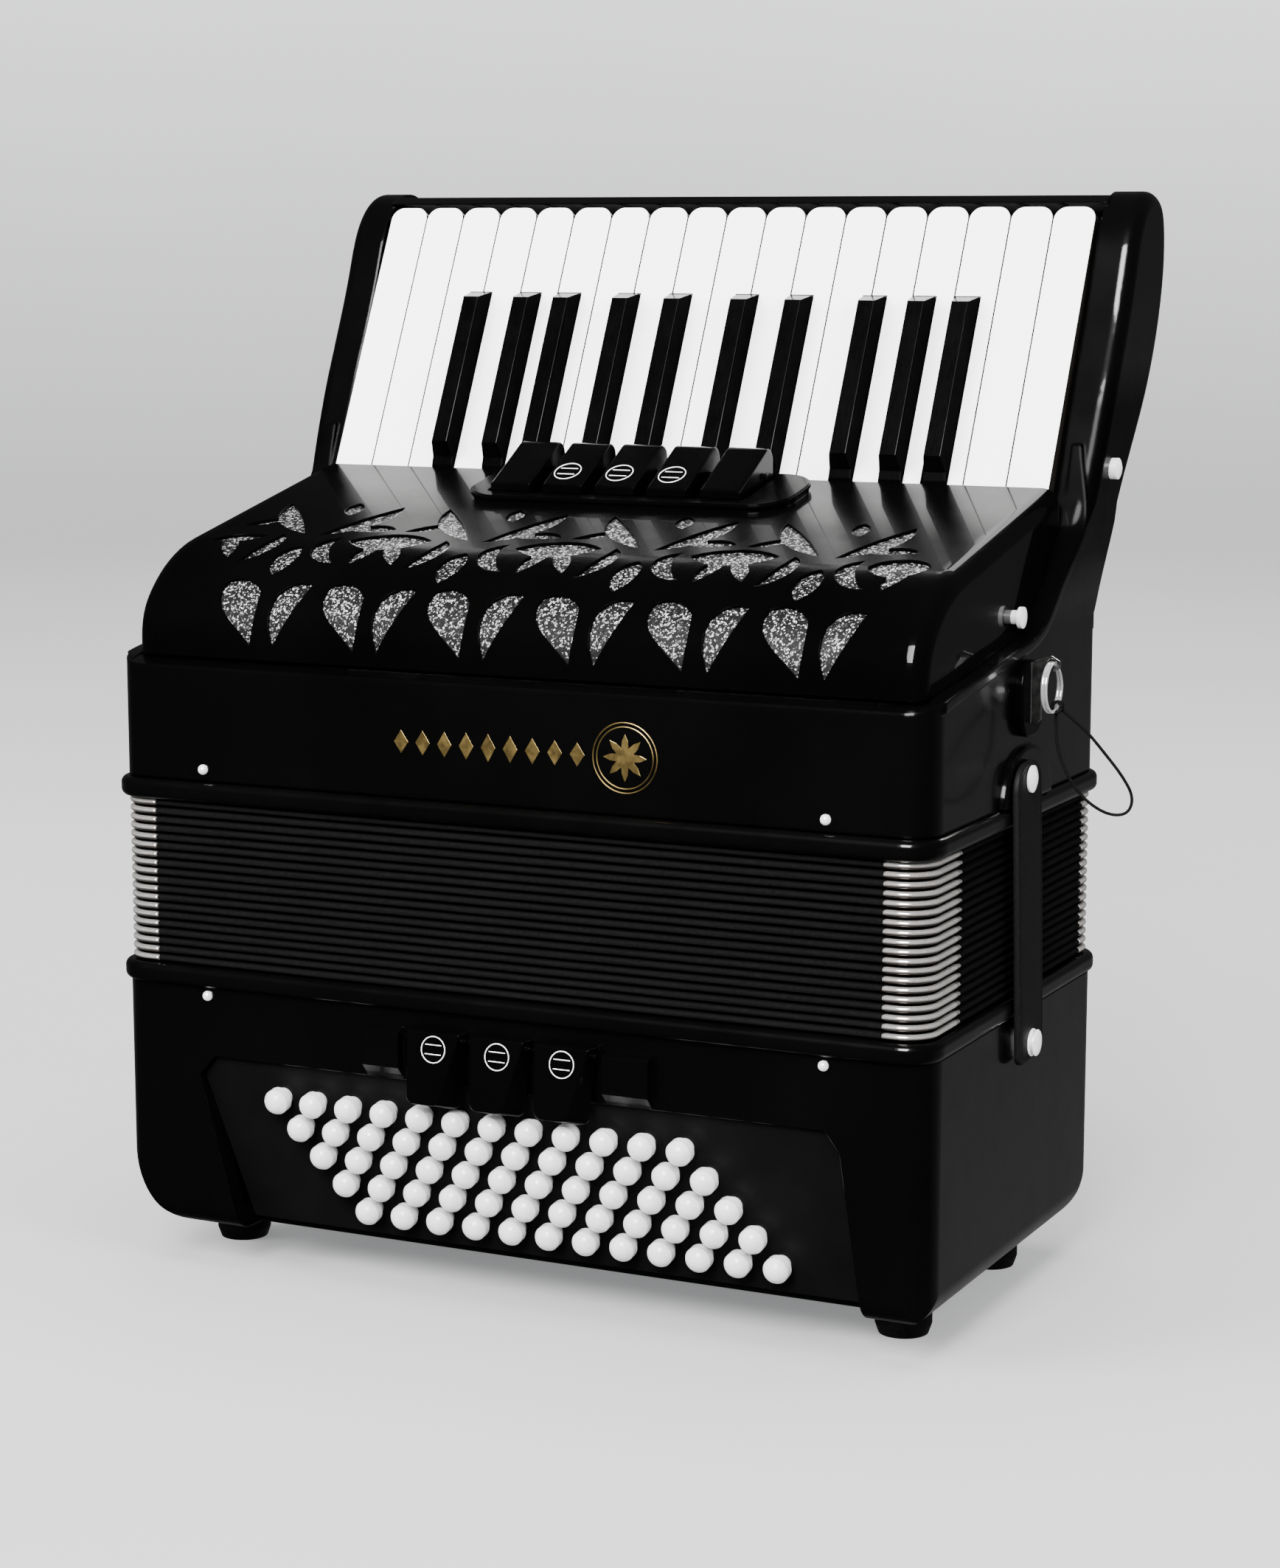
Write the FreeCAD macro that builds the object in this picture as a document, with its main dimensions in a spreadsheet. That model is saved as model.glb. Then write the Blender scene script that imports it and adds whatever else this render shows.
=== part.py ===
# Piano accordion standing on the feet of its bass end, keyboard uppermost.
# Millimetres, +Z up, X along the keyboard, the grille and the buttons face -Y.
# The origin lies on the floor, in the middle of the four feet.
import FreeCAD, Part
import math
import os

from FreeCAD import Placement, Rotation, Vector

doc = FreeCAD.newDocument("piano_accordion")

# --------------------------------------------------------------------------
# Sizes
# --------------------------------------------------------------------------
SIZES = [
    # two wooden cases
    ("body_half_width", 173.0),
    ("body_half_depth", 94.5),
    ("body_corner_radius", 12.0),
    ("case_wall", 8.0),
    ("bass_bottom", 17.0),
    ("bass_top", 117.0),
    ("bass_round_width", 33.0),
    ("bass_round_height", 45.0),
    ("bass_edge_radius", 11.0),
    ("bass_back_radius", 42.0),
    ("treble_bottom", 199.0),
    ("treble_front_top", 244.0),
    ("cheek_inner", 163.7),
    ("cheek_outer", 180.5),
    ("cheek_flare_start", 262.0),
    ("cheek_round", 5.5),
    ("cheek_heel_top", 298.0),
    ("bead_width", 3.4),
    ("bead_height", 1.3),
    # bellows
    ("frame_half_width", 175.5),
    ("frame_half_depth", 98.0),
    ("frame_corner_radius", 14.0),
    ("frame_height", 8.0),
    ("bellows_half_width", 172.2),
    ("bellows_half_depth", 94.6),
    ("fold_count", 19),
    ("fold_pitch", 3.5),
    ("fold_ridge", 2.3),
    ("fold_depth", 3.2),
    ("bellows_wall", 22.0),
    ("corner_sheet", 0.6),
    ("corner_short_leg", 17.0),
    ("corner_long_leg", 34.0),
    # keyboard
    ("white_keys", 18),
    ("key_pitch", 18.0),
    ("key_gap", 0.6),
    ("key_lean", 26.05),
    ("key_line_back", 59.7),
    ("key_line_height", 313.1),
    ("key_length", 121.6),
    ("key_tail", 60.0),
    ("white_key_depth", 15.0),
    ("key_tip_radius", 5.5),
    ("black_key_width", 10.2),
    ("black_key_crest", 7.2),
    ("black_key_rise", 8.0),
    ("black_key_tip", 81.0),
    ("black_key_slant", 5.0),
    ("black_key_heel", 9.0),
    ("black_cut_gap", 0.3),
    ("black_key_edge_radius", 0.6),
    ("axle_radius", 1.5),
    ("axle_bore_radius", 1.55),
    ("axle_drop", 48.0),
    ("axle_depth", 9.0),
    ("key_well_depth", 23.0),
    # grille cover
    ("cover_half_width", 167.0),
    ("cover_skin", 1.2),
    ("cover_end_wall", 5.2),
    ("cover_front", -88.8),
    ("cover_bottom", 247.5),
    ("cover_back", 57.0),
    ("cover_slope", 0.212),
    ("cover_crown", 301.5),
    ("cover_end_radius", 7.0),
    ("cloth_gap", 0.1),
    ("cloth_sheet", 0.8),
    ("petal_pairs", 6),
    ("petal_pitch", 46.5),
    ("scroll_units", 4),
    ("scroll_pitch", 74.5),
    # treble registers on their plinth
    ("plinth_middle", -2.3),
    ("plinth_half_width", 71.0),
    ("plinth_front", 8.5),
    ("plinth_back", 52.0),
    ("plinth_corner", 16.0),
    ("plinth_rise", 3.6),
    ("plinth_lip", 0.7),
    ("plinth_recess", 2.5),
    ("treble_tab_middle", -6.3),
    ("treble_tab_front", 15.0),
    ("treble_tab_height", 308.3),
    ("treble_tabs", 5),
    ("treble_tab_pitch", 23.4),
    ("treble_tab_width", 17.6),
    ("treble_tab_run", 26.0),
    ("treble_tab_rise", 18.0),
    ("treble_tab_back", 33.0),
    ("treble_tab_back_curve", 5.0),
    ("treble_pin_along", 23.5),
    ("treble_pin_height", 7.5),
    ("tab_pin_radius", 1.2),
    ("tab_pin_reach", 1.4),
    ("tab_edge_radius", 0.9),
    # bass button board
    ("board_top", 88.0),
    ("board_top_depth", 92.6),
    ("board_bottom_depth", 79.6),
    ("board_sheet", 3.0),
    ("board_ledge", 9.0),
    ("button_rows", 5),
    ("buttons_in_row", 12),
    ("button_pitch", 15.95),
    ("row_step_up", 10.6),
    ("row_step_along", 9.2),
    ("first_button_along", -100.5),
    ("first_button_height", 74.0),
    ("button_radius", 5.1),
    ("button_stem_radius", 3.4),
    ("button_hole_radius", 3.7),
    ("button_head_gap", 3.3),
    ("button_side", 3.4),
    ("button_dome", 3.6),
    # bass registers
    ("bass_tab_width", 24.0),
    ("bass_tab_back_foot", 21.5),
    ("bass_tab_front_foot", 13.0),
    ("bass_tab_top", 109.7),
    ("bass_tab_length", 30.0),
    ("bass_tab_tilt", 8.0),
    ("bass_tab_pitch", 27.6),
    ("bass_tab_thickness", 6.0),
    ("bass_pin_drop", 3.2),
    ("bass_pin_depth", 2.9),
    # feet and small metal parts
    ("foot_along", 147.0),
    ("foot_across", 48.0),
    ("foot_radius", 11.0),
    ("foot_base_radius", 9.6),
    ("foot_height", 18.0),
    ("screw_along", 132.5),
    ("screw_radius", 2.0),
    ("upper_screw_height", 203.6),
    ("lower_screw_height", 112.5),
    ("knob_across", 5.3),
    ("knob_height", 268.4),
    ("knob_neck", 2.8),
    ("knob_radius", 4.1),
    # strap, ring and cord
    ("strap_top_across", -3.8),
    ("strap_bottom_across", 3.2),
    ("strap_width", 27.0),
    ("strap_inner", 175.9),
    ("strap_sheet", 2.6),
    ("strap_top_stud", 208.5),
    ("strap_bottom_stud", 104.8),
    ("strap_end", 6.5),
    ("strap_top_curve", 10.0),
    ("strap_bottom_curve", 4.0),
    ("stud_cap_radius", 5.2),
    ("strap_pad_across", 4.0),
    ("strap_pad_half_width", 27.0),
    ("strap_pad_height", 21.0),
    ("strap_pad_sheet", 2.4),
    ("ring_along", 184.5),
    ("ring_across", 1.3),
    ("ring_height", 243.0),
    ("ring_radius", 9.2),
    ("ring_wire", 1.25),
    ("plate_across", 4.0),
    ("plate_height", 238.0),
    ("plate_half_width", 12.0),
    ("plate_half_height", 14.5),
    ("plate_sheet", 3.5),
    ("bracket_reach", 180.5),
    ("bracket_sheet", 1.6),
    ("cord_radius", 0.6),
    ("hand_strap_width", 62.0),
    ("hand_strap_half", 126.0),
    ("hand_strap_sheet", 3.0),
    ("air_button_radius", 6.5),
]

sheet = doc.addObject("Spreadsheet::Sheet", "Sheet")
for row, (alias, value) in enumerate(SIZES, start=1):
    sheet.set("A%d" % row, alias)
    sheet.set("B%d" % row, str(value))
    sheet.setAlias("B%d" % row, alias)
doc.recompute()


def size(alias):
    return float(sheet.get(alias))


# --------------------------------------------------------------------------
# Drawing helpers
# --------------------------------------------------------------------------
def face_of(edges):
    return Part.Face(Part.Wire(Part.__sortEdges__(edges)))


def polygon(points):
    return Part.Face(Part.makePolygon(points + [points[0]]))


def prism_x(profile, low, high):
    """Profile of (Y, Z) points drawn out along X."""
    return polygon([Vector(low, y, z) for y, z in profile]).extrude(Vector(high - low, 0, 0))


def prism_y(profile, low, high):
    """Profile of (X, Z) points drawn out along Y."""
    return polygon([Vector(x, low, z) for x, z in profile]).extrude(Vector(0, high - low, 0))


def box(x_low, x_high, y_low, y_high, z_low, z_high):
    return Part.makeBox(x_high - x_low, y_high - y_low, z_high - z_low,
                        Vector(x_low, y_low, z_low))


def rounded_block(half_x, half_y, radius, z_low, z_high):
    block = box(-half_x, half_x, -half_y, half_y, z_low, z_high)
    upright = [e for e in block.Edges if abs(e.Vertexes[0].Z - e.Vertexes[1].Z) > 0.1]
    return block.makeFillet(radius, upright)


def rod(start, end, radius):
    run = end - start
    return Part.makeCylinder(radius, run.Length, start, run)


def dome(base, direction, radius, height):
    """Spherical cap standing on a flat face."""
    ball = (radius ** 2 + height ** 2) / (2 * height)
    ball_shape = Part.makeSphere(ball, base + direction * (height - ball))
    return ball_shape.common(Part.makeCylinder(ball + radius, 2 * ball, base, direction))


def spline(points, start_tangent=None, end_tangent=None):
    curve = Part.BSplineCurve()
    if start_tangent is None:
        curve.interpolate(points)
    else:
        curve.interpolate(Points=points, InitialTangent=start_tangent,
                          FinalTangent=end_tangent)
    return curve.toShape()


def mirrored(shape):
    return shape.mirror(Vector(0, 0, 0), Vector(1, 0, 0))


parts = []


def keep(obj):
    obj.Label = obj.Name
    parts.append(obj)
    return obj


def add_shape(name, shape):
    obj = doc.addObject("Part::Feature", name)
    obj.Shape = shape
    return keep(obj)


def add_body(name):
    body = doc.addObject("PartDesign::Body", name)
    return keep(body)


def add_sketch(body, name, role, edges, offset=0.0):
    """Closed outline on one of the body's own planes."""
    plane = [f for f in body.Origin.OriginFeatures if f.Role == role][0]
    sketch = body.newObject("Sketcher::SketchObject", body.Name + "_" + name)
    sketch.AttachmentSupport = [(plane, "")]
    sketch.MapMode = "FlatFace"
    sketch.AttachmentOffset = Placement(Vector(0, 0, offset), Rotation())
    sketch.addGeometry(edges, False)
    return sketch


def add_feature(body, kind, name, sketch, length, reverse=False):
    feature = body.newObject("PartDesign::" + kind, body.Name + "_" + name)
    feature.Profile = sketch
    feature.Reversed = reverse
    if isinstance(length, str):
        feature.setExpression("Length", "Sheet." + length)
    else:
        feature.Length = length
    sketch.Visibility = False
    doc.recompute()
    return feature


def outline(points):
    """Line segments round a closed list of flat points."""
    ring = points + [points[0]]
    return [Part.LineSegment(Vector(a[0], a[1], 0), Vector(b[0], b[1], 0))
            for a, b in zip(ring, ring[1:])]


def circle(x, y, radius):
    return [Part.Circle(Vector(x, y, 0), Vector(0, 0, 1), radius)]


# --------------------------------------------------------------------------
# Profiles shared by several pieces, as (Y, Z)
# --------------------------------------------------------------------------
half_width = size("body_half_width")
half_depth = size("body_half_depth")
wall = size("case_wall")
lean = math.radians(size("key_lean"))
KEY_LINE = Vector(0, size("key_line_back"), size("key_line_height"))
KEY_TURN = Rotation(Vector(1, 0, 0), -size("key_lean"))
KEY_PLACE = Placement(KEY_LINE, KEY_TURN)


def key_point(depth, along):
    """Point at a depth below the key tops and a distance along the keys."""
    point = KEY_PLACE.multVec(Vector(0, depth, along))
    return (point.y, point.z)


# moulded edge of the side walls, from the front corner to the cheek's foot
EDGE_LINE = [(-half_depth, 244.5), (-87, 246), (-47, 251.5), (-10, 257), (16, 261), (24, 264.5),
             (38, 278), (49, 288.5), (58, 297.5)]
CHEEK_LINE = [(58, 297.5), (64.5, 312), (79, 346), (101, 394), (113, 419), (130, 428.5),
              (143, 424), (148, 410), (145, 384), (125, 342), (104, 312), (95.5, 292)]


def cover_profile(inset):
    """Edges of the grille cover's skin at a distance below its outer face."""
    front = size("cover_front")
    slope = size("cover_slope")
    tilt = math.atan(slope)
    down = Vector(0, math.sin(tilt), -math.cos(tilt))

    def on_slope(y):
        return Vector(0, y, size("cover_crown") + slope * y)

    foot = Vector(0, front + inset, size("cover_bottom") - 12)
    knee = Vector(0, front + inset, 253)
    crest = on_slope(-49) + down * inset
    shoulder = Vector(0, -78.6, 275.6) + Vector(0, 0.72, -0.69) * inset
    back = on_slope(size("cover_back")) + down * inset
    back = Vector(0, size("cover_back"), back.z)
    along = Vector(0, math.cos(tilt), math.sin(tilt))
    bend = spline([knee, shoulder, crest], Vector(0, 0, 40), along * 40)
    return foot, back, [Part.makeLine(foot, knee), bend, Part.makeLine(crest, back)]


# --------------------------------------------------------------------------
# Treble case: box, cheeks and key bed in one moulding
# --------------------------------------------------------------------------
def build_treble_case():
    low = size("treble_bottom")
    flare = size("cheek_flare_start")
    lower_line = [(-half_depth, low), (-half_depth, size("treble_front_top"))]
    lower_line += [p for p in EDGE_LINE if p[1] < flare][1:]
    lower_line += [(22, flare), (half_depth, flare), (half_depth, low)]
    block = prism_x(lower_line, -half_width, half_width)
    block = block.common(rounded_block(half_width, half_depth,
                                       size("body_corner_radius"), low - 1, flare + 1))
    inner = half_width - wall
    cavity = box(-inner, inner, -half_depth + wall, half_depth - wall, low - 1, 330)
    block = block.cut(cavity)

    # side wall above the flare line, running up into the cheek
    edge = [Vector(0, y, z) for y, z in CHEEK_LINE]
    rim = spline(edge)
    line = [Vector(0, 22, flare - 6), Vector(0, 22, flare)]
    line += [Vector(0, y, z) for y, z in EDGE_LINE if z > flare]
    side_edges = [Part.makeLine(a, b) for a, b in zip(line, line[1:])]
    corner = Vector(0, half_depth, flare - 6)
    side_edges += [rim, Part.makeLine(edge[-1], corner), Part.makeLine(corner, line[0])]
    side = face_of(side_edges).extrude(Vector(200, 0, 0))

    outer = size("cheek_outer")
    inside = size("cheek_inner")
    flare_curve = spline([Vector(half_width, -200, flare), Vector(half_width + 3.6, -200, 292),
                          Vector(outer - 0.7, -200, 335), Vector(outer, -200, 440)],
                         Vector(0, 0, 60), Vector(0, 0, 60))
    a = Vector(half_width, -200, flare - 6)
    b = Vector(inside, -200, flare - 6)
    c = Vector(inside, -200, 440)
    d = Vector(outer, -200, 440)
    flare_face = face_of([flare_curve, Part.makeLine(Vector(half_width, -200, flare), a),
                          Part.makeLine(a, b), Part.makeLine(b, c), Part.makeLine(c, d)])
    cheek = side.common(flare_face.extrude(Vector(0, 400, 0)))
    rounded = [e for e in cheek.Edges
               if e.BoundBox.XMin > half_width + 1 and e.BoundBox.DiagonalLength > 60]
    cheek = cheek.makeFillet(size("cheek_round"), rounded)

    # the cheek's heel draws in to the round corner of the box
    radius = size("body_corner_radius")
    foot_reach = half_width + 0.3
    heel_top = size("cheek_heel_top")
    low_heel = rounded_block(foot_reach, half_depth, radius, flare - 8, flare)
    levels = [rounded_block(foot_reach, half_depth, radius, flare, flare + 1),
              rounded_block(half_width + 5.2, half_depth + 3.8, size("cheek_round"), heel_top,
                            heel_top + 1)]
    rings = [min(level.Faces, key=lambda f: f.CenterOfMass.z).OuterWire for level in levels]
    heel = Part.makeLoft(rings, True, True)
    upper = cheek.common(box(-220, 220, -200, 200, heel_top, 460))
    cheek = upper.multiFuse([cheek.common(low_heel), cheek.common(heel)])

    # key bed behind the keys, with the rail beyond their tips
    well = size("key_well_depth")
    bed = [key_point(well, -4), key_point(well, size("key_length") + 2.5),
           key_point(1.5, size("key_length") + 2.5), (122, 427), (136, 424.5), (144, 415),
           (145.5, 402), (142.5, 384), (122.5, 342), (102, 312), (half_depth, 296),
           (half_depth, flare - 20), (half_depth - wall, flare - 20),
           (half_depth - wall, 298)]
    bed_shape = prism_x(bed, -inside - 1, inside + 1)

    # moulded bead along the side's edge, dying away in the cheek's round rim
    width = size("bead_width")
    bead_line = EDGE_LINE + CHEEK_LINE[1:3]
    bead_lean = (0.1, 0.1, 0.1, 0.1, 0.3, 0.7, 0.8, 0.75, 0.85, 0.95, 0.95)

    def moved(depth):
        return [Vector(0, y + share * depth, z - depth * (1.1 - share * 0.5))
                for (y, z), share in zip(bead_line, bead_lean)]

    rim_line = moved(-0.25)
    under = moved(width)
    under = [Vector(0, -half_depth - 1, under[0].z)] + under
    rim_line = [Vector(0, -half_depth - 1, rim_line[0].z)] + rim_line
    bead_face = face_of([spline(rim_line), spline(under), Part.makeLine(rim_line[0], under[0]),
                         Part.makeLine(rim_line[-1], under[-1])])
    bead = bead_face.extrude(Vector(200, 0, 0))
    proud = half_width + size("bead_height")
    reach_line = [(proud, low), (proud, 255), (proud + 0.4, 266), (proud + 1.3, 278),
                  (proud + 2.8, 292), (proud + 3.1, 299), (proud + 1.2, 312),
                  (proud - 2.0, 326), (proud - 4.4, 346)]
    bead_inner = size("cover_half_width") + 0.4
    reach_points = [Vector(x, -200, z) for x, z in reach_line]
    a = Vector(bead_inner, -200, low)
    b = Vector(bead_inner, -200, reach_points[-1].z)
    cut = face_of([spline(reach_points), Part.makeLine(reach_points[0], a), Part.makeLine(a, b),
                   Part.makeLine(b, reach_points[-1])])
    bead = bead.common(cut.extrude(Vector(0, 400, 0)))
    bead = bead.common(rounded_block(half_width + 6, half_depth, radius + 14, low, 330))

    # raised pad behind the head of the bellows strap
    hub = Vector(half_width - 1, size("strap_pad_across"), low)
    arch = Part.Ellipse(hub + Vector(0, size("strap_pad_half_width"), 0),
                        hub + Vector(0, 0, size("strap_pad_height")), hub).toShape()
    pad = Part.Face(Part.Wire([arch])).extrude(Vector(size("strap_pad_sheet") + 1, 0, 0))
    pad_rim = [e for e in pad.Edges if e.BoundBox.XMin > half_width + 1]
    pad = pad.makeFillet(1.2, pad_rim)
    pad = pad.common(box(0, 200, -60, 60, low, low + 40))

    right = cheek.fuse(bead)
    case = block.multiFuse([right, mirrored(right), bed_shape, pad])
    axle_y, axle_z = key_point(size("axle_depth"), -size("axle_drop"))
    bore = rod(Vector(-size("body_half_width") + 4, axle_y, axle_z),
               Vector(size("body_half_width") - 4, axle_y, axle_z), size("axle_bore_radius"))
    return case.cut(bore).removeSplitter()


add_shape("treble_case", build_treble_case())


# --------------------------------------------------------------------------
# Grille cover: one shell with leaf-shaped windows and the register plinth
# --------------------------------------------------------------------------
def leaf(tail, tip, bulge_left, bulge_right):
    """Flat leaf between two arcs; each bulge is measured from the straight chord."""
    chord = tip - tail
    across = Vector(-chord.y, chord.x, 0).normalize()
    middle = (tail + tip) * 0.5
    left = Part.Arc(tail, middle + across * bulge_left, tip).toShape()
    right = Part.Arc(tip, middle + across * bulge_right, tail).toShape()
    return Part.Face(Part.Wire([left, right]))


# one repeat of the scroll band as tail X, tail Y, tip X, tip Y and the two bulges
SCROLL = [
    (9, -43, 17, -66.5, -11, -3.5),
    (13.5, -47, 48.5, -43, 8.5, -10.5),
    (31, -48, 24, -67, 3.0, -4.0),
    (33, -48, 43, -66, 4.0, -3.0),
    (49, -68, 54.5, -42, -1.2, -8.5),
    (68, -74, 70.5, -55, 5.0, -5.0),
    (-4, -42, 13, -1, 2.0, -9.0),
    (7, -34, 25.5, -31, 6.5, -2.0),
    (34, -1, 63, -40, 1.5, -8.0),
    (30.5, -33, 46, -20, 2.5, -4.0),
    (-10, 2, -5.5, -14, 3.5, -4.0),
]
# leaves that close the band at its two ends
SCROLL_ENDS = [(-153, -53, -131, -45, 4.5, -4.5), (130, -50, 154, -47, 9.0, -10.0)]


def build_cover():
    foot, back, edges = cover_profile(0)
    reach = size("cover_half_width")
    lower = [Vector(0, y, z + 0.3) for y, z in EDGE_LINE if y < back.y and y > foot.y]
    lower.append(Vector(0, back.y, EDGE_LINE[-1][1] - 0.6))
    line = [foot] + [Vector(0, foot.y + 4, size("cover_bottom") - 12)] + lower + [back]
    closing = [Part.makeLine(a, b) for a, b in zip(line, line[1:])]
    skin = face_of(edges + closing).extrude(Vector(2 * reach, 0, 0))
    skin.translate(Vector(-reach, 0, 0))
    skin = skin.cut(box(-200, 200, -200, 0, 200, size("cover_bottom")))
    ends = [e for e in skin.Edges
            if abs(abs(e.BoundBox.Center.x) - reach) < 0.01 and e.BoundBox.XLength < 0.01
            and e.BoundBox.ZMax > 249 and e.BoundBox.DiagonalLength > 5
            and is_top_edge(e)]
    skin = skin.makeFillet(size("cover_end_radius"), ends)

    # register plinth with a thin lip round its top
    rise = size("plinth_rise")
    bands = []
    for grow, low, high in ((0.0, -1.1, rise), (size("plinth_lip"), rise - 1.6, rise - 0.4)):
        half_x = size("plinth_half_width") + grow
        y_low = size("plinth_front") - grow
        y_high = size("plinth_back")
        pad = rounded_block(half_x, (y_high - y_low) / 2, size("plinth_corner"), 280, 340)
        pad.translate(Vector(size("plinth_middle"), (y_high + y_low) / 2, 0))
        bands.append(pad.common(slope_band(low, high)))
    half_row = size("treble_tab_pitch") * 2 + size("treble_tab_width") / 2 + 2
    half_run = size("treble_tab_back") / 2 + 1.2
    recess = rounded_block(half_row, half_run, 3, 280, 340)
    recess.translate(Vector(size("treble_tab_middle"), size("treble_tab_front") + half_run - 1.2, 0))
    recess = recess.common(slope_band(rise - size("plinth_recess"), rise + 5))
    plinth = bands[0].fuse(bands[1]).cut(recess)
    solid = skin.fuse(plinth)

    inner_foot, inner_back, inner = cover_profile(size("cover_skin"))
    a = Vector(0, back.y + 5, inner_back.z)
    b = Vector(0, back.y + 5, inner_foot.z)
    inner += [Part.makeLine(inner_back, a), Part.makeLine(a, b), Part.makeLine(b, inner_foot)]
    inner_reach = reach - size("cover_end_wall")
    hollow = face_of(inner).extrude(Vector(2 * inner_reach, 0, 0))
    hollow.translate(Vector(-inner_reach, 0, 0))
    solid = solid.cut(hollow)
    return solid.cut(Part.makeCompound(windows()))


def is_top_edge(edge):
    """True for the end edges that lie on the cover's outer skin."""
    centre = edge.valueAt((edge.FirstParameter + edge.LastParameter) / 2)
    if centre.z < 262:
        return abs(centre.y - size("cover_front")) < 0.5
    return centre.z > size("cover_crown") + size("cover_slope") * centre.y - 8


def slope_band(low, high):
    """Slab parallel to the cover's slope."""
    base = size("cover_crown")
    slope = size("cover_slope")
    band = [(-60, base - 60 * slope + low), (80, base + 80 * slope + low),
            (80, base + 80 * slope + high), (-60, base - 60 * slope + high)]
    return prism_x(band, -120, 120)


def windows():
    tools = []
    pitch = size("scroll_pitch")
    for unit in range(-1, int(size("scroll_units"))):
        start = -106 + pitch * unit
        for x0, y0, x1, y1, left, right in SCROLL:
            if not (-158 < start + min(x0, x1) - 6 and start + max(x0, x1) < 152):
                continue
            shape = leaf(Vector(start + x0, y0, 260), Vector(start + x1, y1, 260), left, right)
            tools.append(shape.extrude(Vector(0, 0, 60)))
    for x0, y0, x1, y1, left, right in SCROLL_ENDS:
        shape = leaf(Vector(x0, y0, 260), Vector(x1, y1, 260), left, right)
        tools.append(shape.extrude(Vector(0, 0, 60)))

    # pairs of petals on the rounded front, cut square to a 40 degree face
    tilt = math.radians(40)
    out = Vector(0, -math.cos(tilt), math.sin(tilt))
    up = Vector(0, math.sin(tilt), math.cos(tilt))
    place = Placement(Vector(0, 0, 0), Rotation(Vector(1, 0, 0), up, out, "XYZ"))
    for pair in range(int(size("petal_pairs"))):
        middle = -109.2 + size("petal_pitch") * pair
        for shape in (petal(middle - 20.5, 162, 5.6, 16.5), petal(middle + 17.7, 162.6, -14, 5.6)):
            shape = shape.extrude(Vector(0, 0, 60))
            shape.Placement = place.multiply(Placement(Vector(0, 0, 205), Rotation()))
            tools.append(shape)
    return tools


def petal(x_top, v_top, run_tip, width):
    """Petal with a broad rounded head and a pointed foot."""
    if run_tip > 0:
        head = [(x_top, v_top), (x_top + 6, v_top + 1.6), (x_top + width, v_top - 4.5)]
        foot = (x_top + width - 0.6, 137)
        left = [(x_top, v_top), (x_top - 0.5, v_top - 9), (foot[0] - 7.5, 143), foot]
        right = [head[-1], (head[-1][0] + 0.6, 151), foot]
    else:
        head = [(x_top, v_top), (x_top - 8, v_top - 0.6), (x_top + run_tip, v_top - 6.8)]
        foot = (x_top - 12.0, 136.8)
        left = [head[-1], (head[-1][0] - 0.6, 146), foot]
        right = [(x_top, v_top), (x_top - 5.4, 148), foot]

    def curve(points):
        return spline([Vector(x, v, 0) for x, v in points])

    return face_of([curve(head), curve(left), curve(right)])


add_shape("grille_cover", build_cover())


def build_cloth():
    reach = size("cover_half_width") - size("cover_end_wall") - 0.6
    outer = size("cover_skin") + size("cloth_gap")
    foot_a, back_a, edges_a = cover_profile(outer)
    foot_b, back_b, edges_b = cover_profile(outer + size("cloth_sheet"))
    edges = edges_a + edges_b + [Part.makeLine(foot_a, foot_b), Part.makeLine(back_a, back_b)]
    cloth = face_of(edges).extrude(Vector(2 * reach, 0, 0))
    cloth.translate(Vector(-reach, 0, 0))
    return cloth.cut(box(-200, 200, -200, 0, 200, size("cover_bottom") + 0.5))


add_shape("grille_cloth", build_cloth())


# --------------------------------------------------------------------------
# Keys on one axle
# --------------------------------------------------------------------------
pitch = size("key_pitch")
first_edge = -pitch * size("white_keys") / 2
black_half = size("black_key_width") / 2
# joint between two white keys, and how far the black key sits off it
BLACK_KEYS = [(3, -1.0), (4, 5.0), (5, 6.0), (7, -2.0), (8, 4.0), (10, -1.5), (11, 5.0),
              (13, 1.5), (14, 5.0), (15, 6.0)]
black_centres = [first_edge + pitch * joint + off for joint, off in BLACK_KEYS]


def bore_key(body):
    hole = circle(size("axle_depth"), -size("axle_drop"), size("axle_bore_radius"))
    sketch = add_sketch(body, "bore", "YZ_Plane", hole, 20)
    add_feature(body, "Pocket", "axle_hole", sketch, 40.0)


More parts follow.
